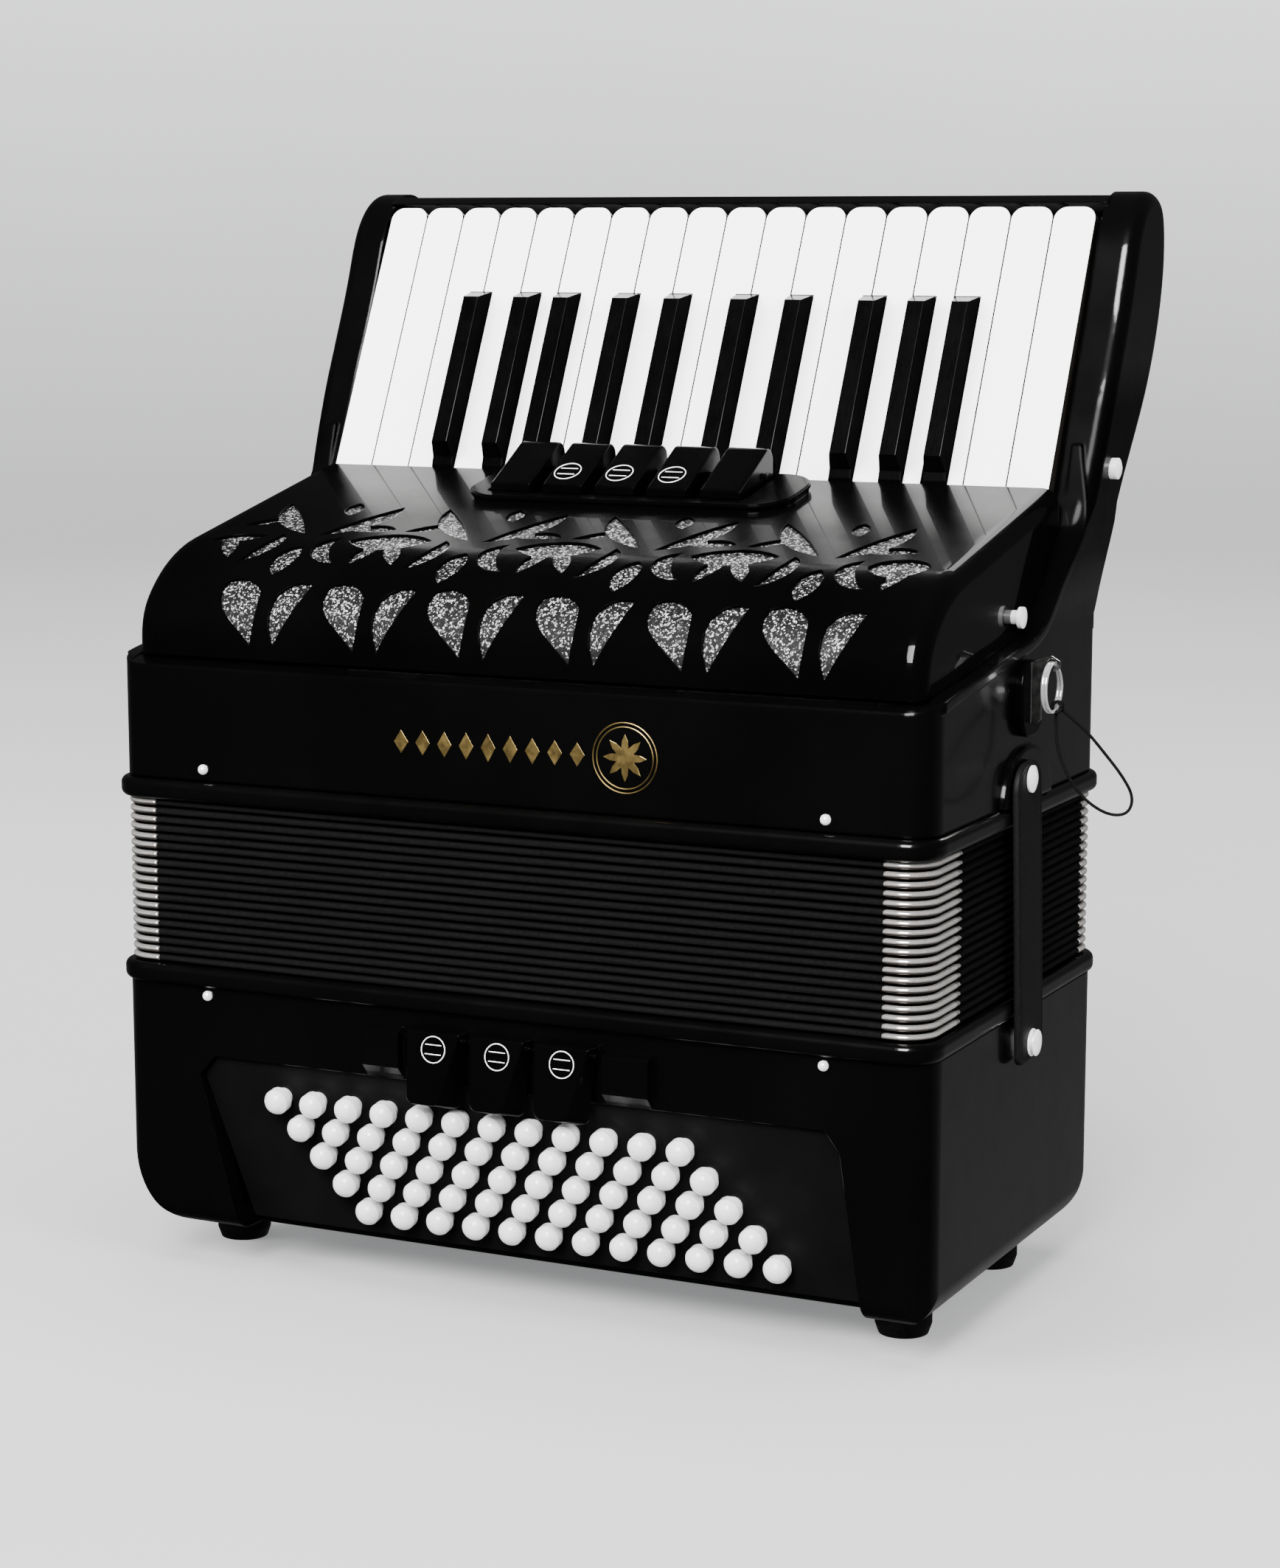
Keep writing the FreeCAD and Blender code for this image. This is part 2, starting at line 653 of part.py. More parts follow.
def white_key(index):
    """Plan outline with the gaps for neighbouring black keys, then one pad."""
    low = first_edge + pitch * index
    high = low + pitch
    middle = (low + high) / 2
    gap = size("key_gap") / 2
    left = low + gap
    right = high - gap
    tail_left = left
    tail_right = right
    for centre in black_centres:
        if centre - black_half < right and centre + black_half > left:
            if centre < middle:
                tail_left = max(tail_left, centre + black_half + size("black_cut_gap"))
            else:
                tail_right = min(tail_right, centre - black_half - size("black_cut_gap"))
    notch = size("black_key_tip") + 1.0
    tip = size("key_length")
    curve = size("key_tip_radius")
    tail = -size("key_tail")
    points = [(tail_left, tail), (tail_left, notch), (left, notch), (left, tip - curve)]
    far_side = [(right, tip - curve), (right, notch), (tail_right, notch), (tail_right, tail)]
    if tail_left == left:
        points = [points[0], points[-1]]
    if tail_right == right:
        far_side = [far_side[0], far_side[-1]]

    def local(point):
        return Vector(point[0] - middle, point[1], 0)

    edges = [Part.LineSegment(local(a), local(b)) for a, b in zip(points, points[1:])]
    edges += [Part.LineSegment(local(a), local(b)) for a, b in zip(far_side, far_side[1:])]
    edges.append(Part.LineSegment(local(far_side[-1]), local(points[0])))
    bend = curve * (1 - math.sqrt(0.5))
    edges.append(Part.Arc(local((left, tip - curve)), local((left + bend, tip - bend)),
                          local((left + curve, tip))))
    edges.append(Part.Arc(local((right - curve, tip)), local((right - bend, tip - bend)),
                          local((right, tip - curve))))
    edges.append(Part.LineSegment(local((left + curve, tip)), local((right - curve, tip))))
    body = add_body("white_key_%02d" % (index + 1))
    sketch = add_sketch(body, "plan", "XZ_Plane", edges)
    add_feature(body, "Pad", "lever", sketch, "white_key_depth", True)
    bore_key(body)
    body.Placement = Placement(KEY_LINE + Vector(middle, 0, 0), KEY_TURN)


def black_key(number, centre):
    rise = size("black_key_rise")
    tip = size("black_key_tip")
    heel = size("black_key_heel")
    depth = size("white_key_depth")
    side = [(depth, -size("key_tail")), (2.0, -size("key_tail")), (2.0, -4), (-1.5, 1),
            (-2.2, heel - 4.5), (-rise, heel), (-rise, tip - size("black_key_slant")),
            (-1.2, tip), (depth, tip)]
    body = add_body("black_key_%02d" % number)
    sketch = add_sketch(body, "side", "YZ_Plane", outline(side), -black_half)
    add_feature(body, "Pad", "lever", sketch, "black_key_width")
    crest = size("black_key_crest") / 2
    for hand in (-1, 1):
        wedge = [(hand * crest, -rise - 0.5), (hand * (crest + 0.1), -rise),
                 (hand * black_half, 0.6), (hand * (black_half + 1), 0.6),
                 (hand * (black_half + 1), -rise - 0.5)]
        name = "left" if hand < 0 else "right"
        cut = add_sketch(body, name, "XY_Plane", outline(wedge), tip + 5)
        flank = add_feature(body, "Pocket", name + "_flank", cut, tip + 5.0)
    crest_edges = ["Edge%d" % number for number, edge in enumerate(flank.Shape.Edges, start=1)
                   if abs(edge.BoundBox.YMin + rise) < 0.01 and edge.BoundBox.YLength < 0.01]
    soften = body.newObject("PartDesign::Fillet", body.Name + "_soft_crest")
    soften.Base = (flank, crest_edges)
    soften.setExpression("Radius", "Sheet.black_key_edge_radius")
    doc.recompute()
    bore_key(body)
    body.Placement = Placement(KEY_LINE + Vector(centre, 0, 0), KEY_TURN)


for index in range(int(size("white_keys"))):
    white_key(index)
for number, centre in enumerate(black_centres, start=1):
    black_key(number, centre)

axle_y, axle_z = key_point(size("axle_depth"), -size("axle_drop"))
axle = doc.addObject("Part::Cylinder", "key_axle")
axle.setExpression("Radius", "Sheet.axle_radius")
axle.setExpression("Height", "2 * Sheet.body_half_width - 10")
axle.Placement = Placement(Vector(5 - half_width, axle_y, axle_z), Rotation(Vector(0, 1, 0), 90))
keep(axle)


# --------------------------------------------------------------------------
# Treble registers: wedge tabs that rock on their back edge
# --------------------------------------------------------------------------
def top_edges(shape, low):
    """Names of the edges that lie wholly above a height and lean back from the front."""
    return ["Edge%d" % number for number, edge in enumerate(shape.Edges, start=1)
            if edge.BoundBox.ZMin > low and edge.BoundBox.YMin < size("treble_tab_run") - 1]


def treble_tab(number):
    run = size("treble_tab_run")
    lift = size("treble_tab_rise")
    back = size("treble_tab_back")
    wide = size("treble_tab_width")
    # the sloping top runs into the back through a tangent arc
    curve = size("treble_tab_back_curve")
    rake = math.atan2(lift - 3.2, run)
    hub = Vector(back - curve, 0, 0)
    hub.y = 3.2 + math.tan(rake) * hub.x - curve / math.cos(rake)
    shoulder = hub + Vector(-math.sin(rake), math.cos(rake), 0) * curve
    half_turn = math.pi / 4 - rake / 2
    half_way = hub + Vector(math.sin(half_turn), math.cos(half_turn), 0) * curve
    low_edges = [(back, hub.y), (back, 4.5), (run, 4.5), (0, 0), (0, 3.2)]
    edges = outline(low_edges)[:-1]
    edges.append(Part.LineSegment(Vector(0, 3.2, 0), shoulder))
    edges.append(Part.Arc(shoulder, half_way, Vector(back, hub.y, 0)))
    tab = add_body("treble_register_%d" % number)
    sketch = add_sketch(tab, "side", "YZ_Plane", edges)
    pad = add_feature(tab, "Pad", "tab", sketch, "treble_tab_width")
    soften = tab.newObject("PartDesign::Fillet", tab.Name + "_soft_edges")
    soften.Base = (pad, top_edges(pad.Shape, 3.1))
    soften.setExpression("Radius", "Sheet.tab_edge_radius")
    doc.recompute()
    reach = size("tab_pin_reach")
    pin = circle(size("treble_pin_along"), size("treble_pin_height"), size("tab_pin_radius"))
    sketch = add_sketch(tab, "pin", "YZ_Plane", pin, -reach)
    add_feature(tab, "Pad", "pivot", sketch, wide + 2 * reach)
    middle = (size("treble_tabs") + 1) / 2
    along = size("treble_tab_middle") + (number - middle) * size("treble_tab_pitch") - wide / 2
    tab.Placement = Placement(Vector(along, size("treble_tab_front"), size("treble_tab_height")),
                              Rotation())


for number in range(int(size("treble_tabs"))):
    treble_tab(number + 1)


# --------------------------------------------------------------------------
# Bellows, its two frames and the metal corners
# --------------------------------------------------------------------------
def add_frame(name, bottom):
    """Rectangular rib with a wide opening for the air."""
    body = add_body(name)
    half_x = size("frame_half_width")
    half_y = size("frame_half_depth")
    curve = size("frame_corner_radius")
    bend = curve * (1 - math.sqrt(0.5))
    edges = []
    for sx, sy in ((1, 1), (-1, 1), (-1, -1), (1, -1)):
        edges.append(Part.Arc(Vector(sx * half_x, sy * (half_y - curve), 0),
                              Vector(sx * (half_x - bend), sy * (half_y - bend), 0),
                              Vector(sx * (half_x - curve), sy * half_y, 0)))
    for sign in (1, -1):
        edges.append(Part.LineSegment(Vector(curve - half_x, sign * half_y, 0),
                                      Vector(half_x - curve, sign * half_y, 0)))
        edges.append(Part.LineSegment(Vector(sign * half_x, curve - half_y, 0),
                                      Vector(sign * half_x, half_y - curve, 0)))
    wide = size("bellows_half_width") - size("bellows_wall")
    deep = size("bellows_half_depth") - size("bellows_wall")
    edges += outline([(-wide, -deep), (wide, -deep), (wide, deep), (-wide, deep)])
    sketch = add_sketch(body, "ring", "XY_Plane", edges)
    pad = add_feature(body, "Pad", "rib", sketch, "frame_height")
    rim = []
    for number, edge in enumerate(pad.Shape.Edges, start=1):
        flat = edge.BoundBox.ZLength < 0.01
        outside = edge.BoundBox.XMax > wide + 10 or edge.BoundBox.XMin < -wide - 10
        outside = outside or edge.BoundBox.YMax > deep + 10 or edge.BoundBox.YMin < -deep - 10
        if flat and outside:
            rim.append("Edge%d" % number)
    fillet = body.newObject("PartDesign::Fillet", name + "_soft_rim")
    fillet.Base = (pad, rim)
    fillet.Radius = 2.8
    body.Placement = Placement(Vector(0, 0, bottom), Rotation())


bellows_low = size("bass_top") + 7.0
bellows_high = bellows_low + size("fold_count") * size("fold_pitch")
add_frame("bellows_frame_lower", bellows_low - size("frame_height"))
add_frame("bellows_frame_upper", bellows_high)


def build_folds():
    wide = size("bellows_half_width")
    deep = size("bellows_half_depth")
    inset = size("fold_depth")
    core = rounded_block(wide - inset, deep - inset, 9, bellows_low, bellows_high)
    rings = []
    for fold in range(int(size("fold_count"))):
        bottom = bellows_low + size("fold_pitch") * fold + 0.6
        rings.append(rounded_block(wide, deep, 12, bottom, bottom + size("fold_ridge")))
    stack = core.multiFuse(rings)
    margin = size("bellows_wall")
    return stack.cut(box(margin - wide, wide - margin, margin - deep, deep - margin,
                         bellows_low - 1, bellows_high + 1))


add_shape("bellows_folds", build_folds())


def build_corners():
    wide = size("bellows_half_width")
    deep = size("bellows_half_depth")
    thick = size("corner_sheet")
    high = size("fold_ridge") + 0.2
    band = rounded_block(wide + thick, deep + thick, 12.6, 0, high)
    band = band.cut(rounded_block(wide + 0.02, deep + 0.02, 12.02, -1, high + 1))
    short = size("corner_short_leg")
    long = size("corner_long_leg")
    strips = []
    for sx in (-1, 1):
        for sy, x_leg, y_leg in ((-1, short, long), (1, long, short)):
            x_low, x_high = sorted((sx * (wide - x_leg), sx * (wide + 5)))
            y_low, y_high = sorted((sy * (deep - y_leg), sy * (deep + 5)))
            strips.append(band.common(box(x_low, x_high, y_low, y_high, -1, high + 1)))
    solids = []
    for fold in range(int(size("fold_count"))):
        height = bellows_low + size("fold_pitch") * fold + 0.5
        for strip in strips:
            copy = strip.copy()
            copy.translate(Vector(0, 0, height))
            solids.extend(copy.Solids)
    return Part.makeCompound(solids)


add_shape("bellows_corners", build_corners())


# --------------------------------------------------------------------------
# Bass case with the recess for the button board
# --------------------------------------------------------------------------
RECESS = [(-130, 88), (133, 88), (139, 80), (149.5, 10), (-118, 10), (-137, 80)]


def board_line(extra):
    """Front face of the leaning board, moved back by a distance."""
    top = (extra - size("board_top_depth"), 90)
    bottom = (extra - size("board_bottom_depth"), 12)
    return [top, bottom]


def build_bass_case():
    low = size("bass_bottom")
    high = bellows_low - size("frame_height")
    block = rounded_block(half_width + 1, half_depth, size("body_corner_radius"), low, high)
    right_edge = size("bass_edge_radius")
    wide = size("bass_round_width")
    tall = size("bass_round_height")
    reach = half_width + 1
    left_bow = spline([Vector(-reach, -120, low + tall),
                       Vector(-reach + wide * (1 - math.sqrt(0.5)), -120,
                              low + tall * (1 - math.sqrt(0.5))),
                       Vector(-reach + wide, -120, low)],
                      Vector(0, 0, -60), Vector(60, 0, 0))
    bend = right_edge * math.sqrt(0.5)
    right_bow = Part.Arc(Vector(reach - right_edge, -120, low),
                         Vector(reach - right_edge + bend, -120, low + right_edge - bend),
                         Vector(reach, -120, low + right_edge)).toShape()
    top_left = Vector(-reach, -120, high)
    top_right = Vector(reach, -120, high)
    outline_edges = [left_bow, right_bow,
                     Part.makeLine(Vector(-reach + wide, -120, low),
                                   Vector(reach - right_edge, -120, low)),
                     Part.makeLine(Vector(reach, -120, low + right_edge), top_right),
                     Part.makeLine(top_right, top_left),
                     Part.makeLine(top_left, Vector(-reach, -120, low + tall))]
    block = block.common(face_of(outline_edges).extrude(Vector(0, 240, 0)))
    back = size("bass_back_radius")
    front = 8.0
    profile = [(-half_depth, high), (-half_depth, low + front)]
    for step in range(1, 7):
        turn = math.radians(90 * step / 6)
        profile.append((-half_depth + front * (1 - math.cos(turn)),
                        low + front * (1 - math.sin(turn))))
    for step in range(0, 13):
        turn = math.radians(90 * step / 12)
        profile.append((half_depth - back * (1 - math.sin(turn)),
                        low + back * (1 - math.cos(turn))))
    profile.append((half_depth, high))
    block = block.common(prism_x(profile, -200, 200))

    hollow = rounded_block(half_width - wall, half_depth - wall, 6, low + wall, high + 1)
    corner = prism_y([(-180, 0), (-180, 62), (-118, 0)], -120, 120)
    rear = prism_x([(100, 10), (100, 62), (45, 10)], -200, 200)
    block = block.cut(hollow.cut(corner).cut(rear))

    wedge = board_line(size("board_sheet") + 0.1)
    recess = prism_y(RECESS, -130, 0)
    front_space = prism_x([(-130, 100)] + [(wedge[0][0], 100)] + wedge + [(-130, 12)], -200, 200)
    block = block.cut(recess.common(front_space))
    ledge = size("board_ledge")
    window = [(-130 + ledge, 88 - ledge), (133 - ledge, 88 - ledge), (139 - ledge, 80 - ledge),
              (147 - ledge, low + wall + 2), (-119 + ledge, low + wall + 2), (-136 + ledge, 80 - ledge)]
    block = block.cut(prism_y(window, -half_depth, -half_depth + wall + 1))
    for low_x, high_x, bottom in ((-59.5, -43.5, 88.5), (44.3, 63.3, 88.0)):
        stop = [(-half_depth + 2, 109.5), (-half_depth - 4.5, 107.5), (-half_depth - 4.5, bottom + 5),
                (-half_depth, bottom), (-half_depth + 2, bottom)]
        block = block.fuse(prism_x(stop, low_x, high_x))
    button = rod(Vector(-190, 0, 76), Vector(-150, 0, 76), size("air_button_radius") + 0.3)
    return block.cut(button).removeSplitter()


add_shape("bass_case", build_bass_case())

# slope of the button board against the upright
board_tilt = math.atan2(size("board_top_depth") - size("board_bottom_depth"), 78.0)
board_out = Vector(0, -math.cos(board_tilt), -math.sin(board_tilt))


def board_depth(height):
    share = (90 - height) / 78.0
    drop = size("board_top_depth") - size("board_bottom_depth")
    return -size("board_top_depth") + share * drop


def button_place(row, column):
    height = size("first_button_height") - size("row_step_up") * row
    along = size("first_button_along") + size("row_step_along") * row
    along += size("button_pitch") * column
    return Vector(along, board_depth(height), height)


def build_board():
    front = board_line(0)
    back = board_line(size("board_sheet"))
    sheet_shape = prism_x(front + back[::-1], -160, 160)
    shape = sheet_shape.common(prism_y(shrunk(RECESS, 0.2), -130, 0))
    floor = box(-200, 200, -200, 0, 0, size("bass_bottom") + 3.2)
    holes = []
    for row in range(int(size("button_rows"))):
        for column in range(int(size("buttons_in_row"))):
            spot = button_place(row, column)
            holes.append(rod(spot - board_out * 12, spot + board_out * 12,
                             size("button_hole_radius")))
    return shape.cut(floor).cut(Part.makeCompound(holes))


def shrunk(points, gap):
    return [(x - gap if x > 0 else x + gap, z - gap) for x, z in points]


add_shape("bass_button_board", build_board())


def build_button_row(row):
    gap = size("button_head_gap")
    caps = []
    for column in range(int(size("buttons_in_row"))):
        spot = button_place(row, column)
        stem = rod(spot - board_out * 9, spot + board_out * (gap + 0.5),
                   size("button_stem_radius"))
        top = spot + board_out * (gap + size("button_side"))
        rim = rod(spot + board_out * gap, top, size("button_radius"))
        crown = dome(top, board_out, size("button_radius"), size("button_dome"))
        caps.append(stem.fuse(rim).fuse(crown).removeSplitter())
    return Part.makeCompound([solid for cap in caps for solid in cap.Solids])


for row in range(int(size("button_rows"))):
    add_shape("bass_buttons_row_%d" % (row + 1), build_button_row(row))


# --------------------------------------------------------------------------
# Bass registers: tapering tabs hanging over the first row of buttons
# --------------------------------------------------------------------------
def bass_tab():
    """Tab whose right flank widens towards the foot, with its pivot pin."""
    top = size("bass_tab_width") / 2
    back_foot = size("bass_tab_back_foot") / 2
    front_foot = size("bass_tab_front_foot")
    drop = size("bass_tab_length")
    thick = size("bass_tab_thickness")
    rear = [(-top, 0), (top, 0), (back_foot, -drop), (-back_foot, -drop)]
    front = [(-top + 0.4, -0.6), (top - 0.4, -0.6), (front_foot - back_foot + 1, -drop + 1),
             (-back_foot + 0.6, -drop + 1)]
    wires = []
    for depth, points in ((0, rear), (-thick, front)):
        corners = [Vector(x, depth, z) for x, z in points]
        wires.append(Part.makePolygon(corners + [corners[0]]))
    tab = Part.makeLoft(wires, True, True)
    foot_edges = [e for e in tab.Edges
                  if e.BoundBox.YLength > thick / 2 and e.CenterOfMass.z < -drop / 2]
    tab = tab.makeFillet(3.5, foot_edges)
    face_edges = [e for e in tab.Edges if e.BoundBox.YMax < -thick + 0.01]
    tab = tab.makeFillet(size("tab_edge_radius"), face_edges)
    reach = top + size("tab_pin_reach")
    pin_y = -size("bass_pin_depth")
    pin_z = -size("bass_pin_drop")
    pin = rod(Vector(-reach, pin_y, pin_z), Vector(reach, pin_y, pin_z), size("tab_pin_radius"))
    return tab.fuse(pin).removeSplitter()


for number in range(3):
    lean_back = Placement(Vector((number - 1) * size("bass_tab_pitch") + 0.8,
                                 -half_depth - 0.5, size("bass_tab_top")),
                          Rotation(Vector(1, 0, 0), -size("bass_tab_tilt")))
    shape = bass_tab()
    shape.Placement = lean_back
    add_shape("bass_register_%d" % (number + 1), shape)


# --------------------------------------------------------------------------
# Feet, screws and studs
# --------------------------------------------------------------------------
def build_feet():
    feet = []
    for sx in (-1, 1):
        for sy in (-1, 1):
            spot = Vector(sx * size("foot_along"), sy * size("foot_across"), 0)
            foot = Part.makeCone(size("foot_base_radius"), size("foot_radius"), 4, spot)
            shank = Part.makeCylinder(size("foot_radius"), size("foot_height") - 4,
                                      spot + Vector(0, 0, 4))
            feet.append(foot.fuse(shank).removeSplitter())
    return feet


def build_all_feet():
    solids = [solid for foot in build_feet() for solid in foot.Solids]
    return Part.makeCompound(solids).cut(parts_by_name("bass_case").Shape)


def parts_by_name(name):
    return [part for part in parts if part.Name == name][0]


doc.recompute()
add_shape("feet", build_all_feet())


def domed_stud(base, direction, radius, shank, cap):
    stem = rod(base, base + direction * shank, radius)
    return stem.fuse(dome(base + direction * shank, direction, radius, cap)).removeSplitter()


forward = Vector(0, -1, 0)
outward = Vector(1, 0, 0)


def strap_point(height, x):
    """Point on the bellows strap's middle line; the strap leans a little."""
    high = size("strap_top_stud")
    low = size("strap_bottom_stud")
    share = (high - height) / (high - low)
    across = size("strap_top_across")
    across += (size("strap_bottom_across") - across) * share
    return Vector(x, across, height)


def build_treble_fasteners():
    solids = []
    for side in (-1, 1):
        for face in (-1, 1):
            base = Vector(side * size("screw_along"), face * half_depth, size("upper_screw_height"))
            solids.append(domed_stud(base, Vector(0, face, 0), size("screw_radius"), 0.6, 1.6))
        hand = Vector(side, 0, 0)
        solids.append(domed_stud(Vector(side * 178.6, 85, 320), hand, 4.2, 3.4, 1.2))
        knob = Vector(side * size("cover_half_width"), size("knob_across"), size("knob_height"))
        neck = knob + hand * size("knob_neck")
        head = domed_stud(neck, hand, size("knob_radius"), 1.6, 0.6)
        solids.append(rod(knob, neck, size("knob_radius") - 1.4).fuse(head).removeSplitter())
    spot = strap_point(size("strap_top_stud"), half_width)
    shoulder = spot + outward * (size("strap_inner") + size("strap_sheet") + 0.4 - half_width)
    pin = rod(spot, shoulder, 2.7)
    cap = domed_stud(shoulder, outward, size("stud_cap_radius"), 0.8, 1.3)
    solids.append(pin.fuse(cap).removeSplitter())
    whole = Part.makeCompound([s for shape in solids for s in shape.Solids])
    return whole.cut(parts_by_name("treble_case").Shape)


add_shape("treble_fasteners", build_treble_fasteners())


def build_bass_fasteners():
    solids = []
    for side in (-1, 1):
        for face in (-1, 1):
            base = Vector(side * size("screw_along"), face * half_depth, size("lower_screw_height"))
            solids.append(domed_stud(base, Vector(0, face, 0), size("screw_radius"), 0.6, 1.6))
    spot = strap_point(size("strap_bottom_stud"), half_width + 1)
    solids.append(rod(spot, spot + outward * (size("strap_inner") - half_width - 1.3), 7.0))
    return Part.makeCompound([s for shape in solids for s in shape.Solids])


add_shape("bass_fasteners", build_bass_fasteners())


# --------------------------------------------------------------------------
# Bellows strap, strap ring with its plate, cord loop and hand strap
# --------------------------------------------------------------------------
def build_bellows_strap():
    inner = size("strap_inner")
    thick = size("strap_sheet")
    half = size("strap_width") / 2
    top = strap_point(size("strap_top_stud"), inner)
    foot = strap_point(size("strap_bottom_stud"), inner)
    length = (top - foot).Length
    band = box(0, thick, -half, half, -length - size("strap_end"), size("strap_end"))
    for curve, upper in ((size("strap_top_curve"), True), (size("strap_bottom_curve"), False)):
        corners = [e for e in band.Edges if e.BoundBox.XLength > thick / 2
                   and e.BoundBox.ZLength < 0.01 and e.BoundBox.YLength < 0.01
                   and (e.CenterOfMass.z > 0) == upper]
        band = band.makeFillet(curve - 0.01, corners)
    band = band.cut(rod(Vector(-1, 0, 0), Vector(thick + 1, 0, 0), 2.9))
    low = Vector(thick, 0, -length)
    rim = rod(low, low + outward * 0.7, size("stud_cap_radius") + 0.3)
    cap = domed_stud(low, outward, size("stud_cap_radius") - 0.6, 1.8, 1.4)
    band = band.fuse(rim).fuse(cap).removeSplitter()
    swing = math.degrees(math.atan2(foot.y - top.y, top.z - foot.z))
    band.Placement = Placement(top, Rotation(Vector(1, 0, 0), swing))
    return band


add_shape("bellows_strap", build_bellows_strap())


def build_ring_plate():
    """Rounded base plate, an upright bracket edge and the lug that holds the ring."""
    x = half_width
    y = size("ring_across")
    plate = rounded_block(size("plate_half_width"), size("plate_half_height"), 10.0, 0,
                          size("plate_sheet"))
    plate.rotate(Vector(0, 0, 0), Vector(1, 0, 0), 90)
    plate.rotate(Vector(0, 0, 0), Vector(0, 0, 1), 90)
    plate.translate(Vector(x, size("plate_across"), size("plate_height")))
    rim = [e for e in plate.Edges if e.BoundBox.XMin > x + size("plate_sheet") - 0.01]
    plate = plate.makeFillet(1.0, rim)
    top = size("ring_height") + size("ring_radius")
    reach = size("ring_along") - x
    tip = size("bracket_reach")
    lug = [(x + 1, top - 23), (tip - 1.5, top - 23), (tip, top - 21.5), (tip, top - 5),
           (x + reach, top - 3.6), (x + reach + 3.2, top - 1.8), (x + reach + 3.2, top + 1.2),
           (x + reach, top + 3.0), (tip - 3, top + 0.6), (x + 1, top - 2)]
    sheet_half = size("bracket_sheet") / 2
    lug = prism_y(lug, y - sheet_half, y + sheet_half)
    hole = rod(Vector(size("ring_along"), y - 3, top), Vector(size("ring_along"), y + 3, top), 1.9)
    whole = plate.fuse(lug).cut(hole).removeSplitter()
    return whole.cut(parts_by_name("treble_case").Shape)


add_shape("ring_plate", build_ring_plate())

ring = doc.addObject("Part::Torus", "strap_ring")
ring.setExpression("Radius1", "Sheet.ring_radius")
ring.setExpression("Radius2", "Sheet.ring_wire")
ring.Placement = Placement(Vector(size("ring_along"), size("ring_across"), size("ring_height")),
                           Rotation(Vector(0, 1, 0), 90))
keep(ring)


def rounded_path(points):
    """Straight runs joined by tangent arcs, each as wide as its runs allow."""
    edges = []
    start = points[0]
    for before, corner, after in zip(points, points[1:], points[2:]):
        arrive = corner - before
        leave = after - corner
        turn = arrive.getAngle(leave)
        reach = 0.45 * min(arrive.Length, leave.Length)
        radius = reach / math.tan(turn / 2)
        print("cord bend radius %.1f mm" % radius)
        enter = corner - arrive.normalize() * reach
        exit_point = corner + leave.normalize() * reach
        bisect = (enter + exit_point) * 0.5
        inward = (bisect - corner).normalize()
        centre = corner + inward * (radius / math.cos(turn / 2))
        middle = centre - inward * radius
        edges.append(Part.makeLine(start, enter))
        edges.append(Part.Arc(enter, middle, exit_point).toShape())
        start = exit_point
    edges.append(Part.makeLine(start, points[-1]))
    return Part.Wire(edges)


# loop of thin cord, as (sideways, downward) from its start on the ring
LOOP = [(0, 0), (9, 7.4), (16.5, 16.4), (24, 25.8), (28.5, 34), (26.5, 40.6), (19, 41),
        (10, 35.3), (3.5, 26.7), (-0.5, 17.2), (-1.8, 8.2), (-1.6, 2)]


def build_cord():
    start = Vector(size("ring_along") + 2.6, size("ring_across") + 3.0,
                   size("ring_height") - size("ring_radius") + 1.0)
    side = Vector(0.9, 0.43, 0)
    points = [start + side * across + Vector(0, 0, -down) for across, down in LOOP]
    path = rounded_path(points)
    section = Part.Wire(Part.makeCircle(size("cord_radius"), points[0], points[1] - points[0]))
    cord = path.makePipeShell([section], True, False)
    expected = math.pi * size("cord_radius") ** 2 * path.Length
    print("cord length %.1f, volume over section %.4f" % (path.Length, cord.Volume / expected))
    return cord


add_shape("ring_cord", build_cord())


def build_hand_strap():
    low = size("bass_bottom")
    thick = size("hand_strap_sheet")
    reach = size("hand_strap_half")
    width = size("hand_strap_width") / 2
    line = [(-reach, low), (-reach, low - thick), (-reach + 16, low - thick),
            (-reach + 38, 7.0), (reach - 38, 7.0), (reach - 16, low - thick),
            (reach, low - thick), (reach, low), (reach - 15, low), (reach - 37, 7.0 + thick),
            (-reach + 37, 7.0 + thick), (-reach + 15, low)]
    return prism_y(line, -width, width)


add_shape("hand_strap", build_hand_strap())

air = doc.addObject("Part::Cylinder", "air_button")
air.setExpression("Radius", "Sheet.air_button_radius")
air.Height = 16.0
air.Placement = Placement(Vector(-half_width - 7, 0, 76), Rotation(Vector(0, 1, 0), 90))
keep(air)


# --------------------------------------------------------------------------
# Check and write
# --------------------------------------------------------------------------
doc.recompute()
for obj in doc.Objects:
    if "Invalid" in obj.State or "Error" in obj.State:
        raise RuntimeError("%s has state %s" % (obj.Name, obj.State))
os.makedirs("parts", exist_ok=True)
for part in parts:
    if part.Shape.isNull() or not part.Shape.isValid():
        raise RuntimeError("%s has no valid shape" % part.Name)
    part.Shape.exportStep("parts/%s.step" % part.Name)
print("%d parts written" % len(parts))
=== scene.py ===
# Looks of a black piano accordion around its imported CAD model.
# Metres, +Z up, X along the keyboard, the grille and the bass buttons face -Y.
import math

import bmesh
import bpy
from mathutils import Matrix, Vector


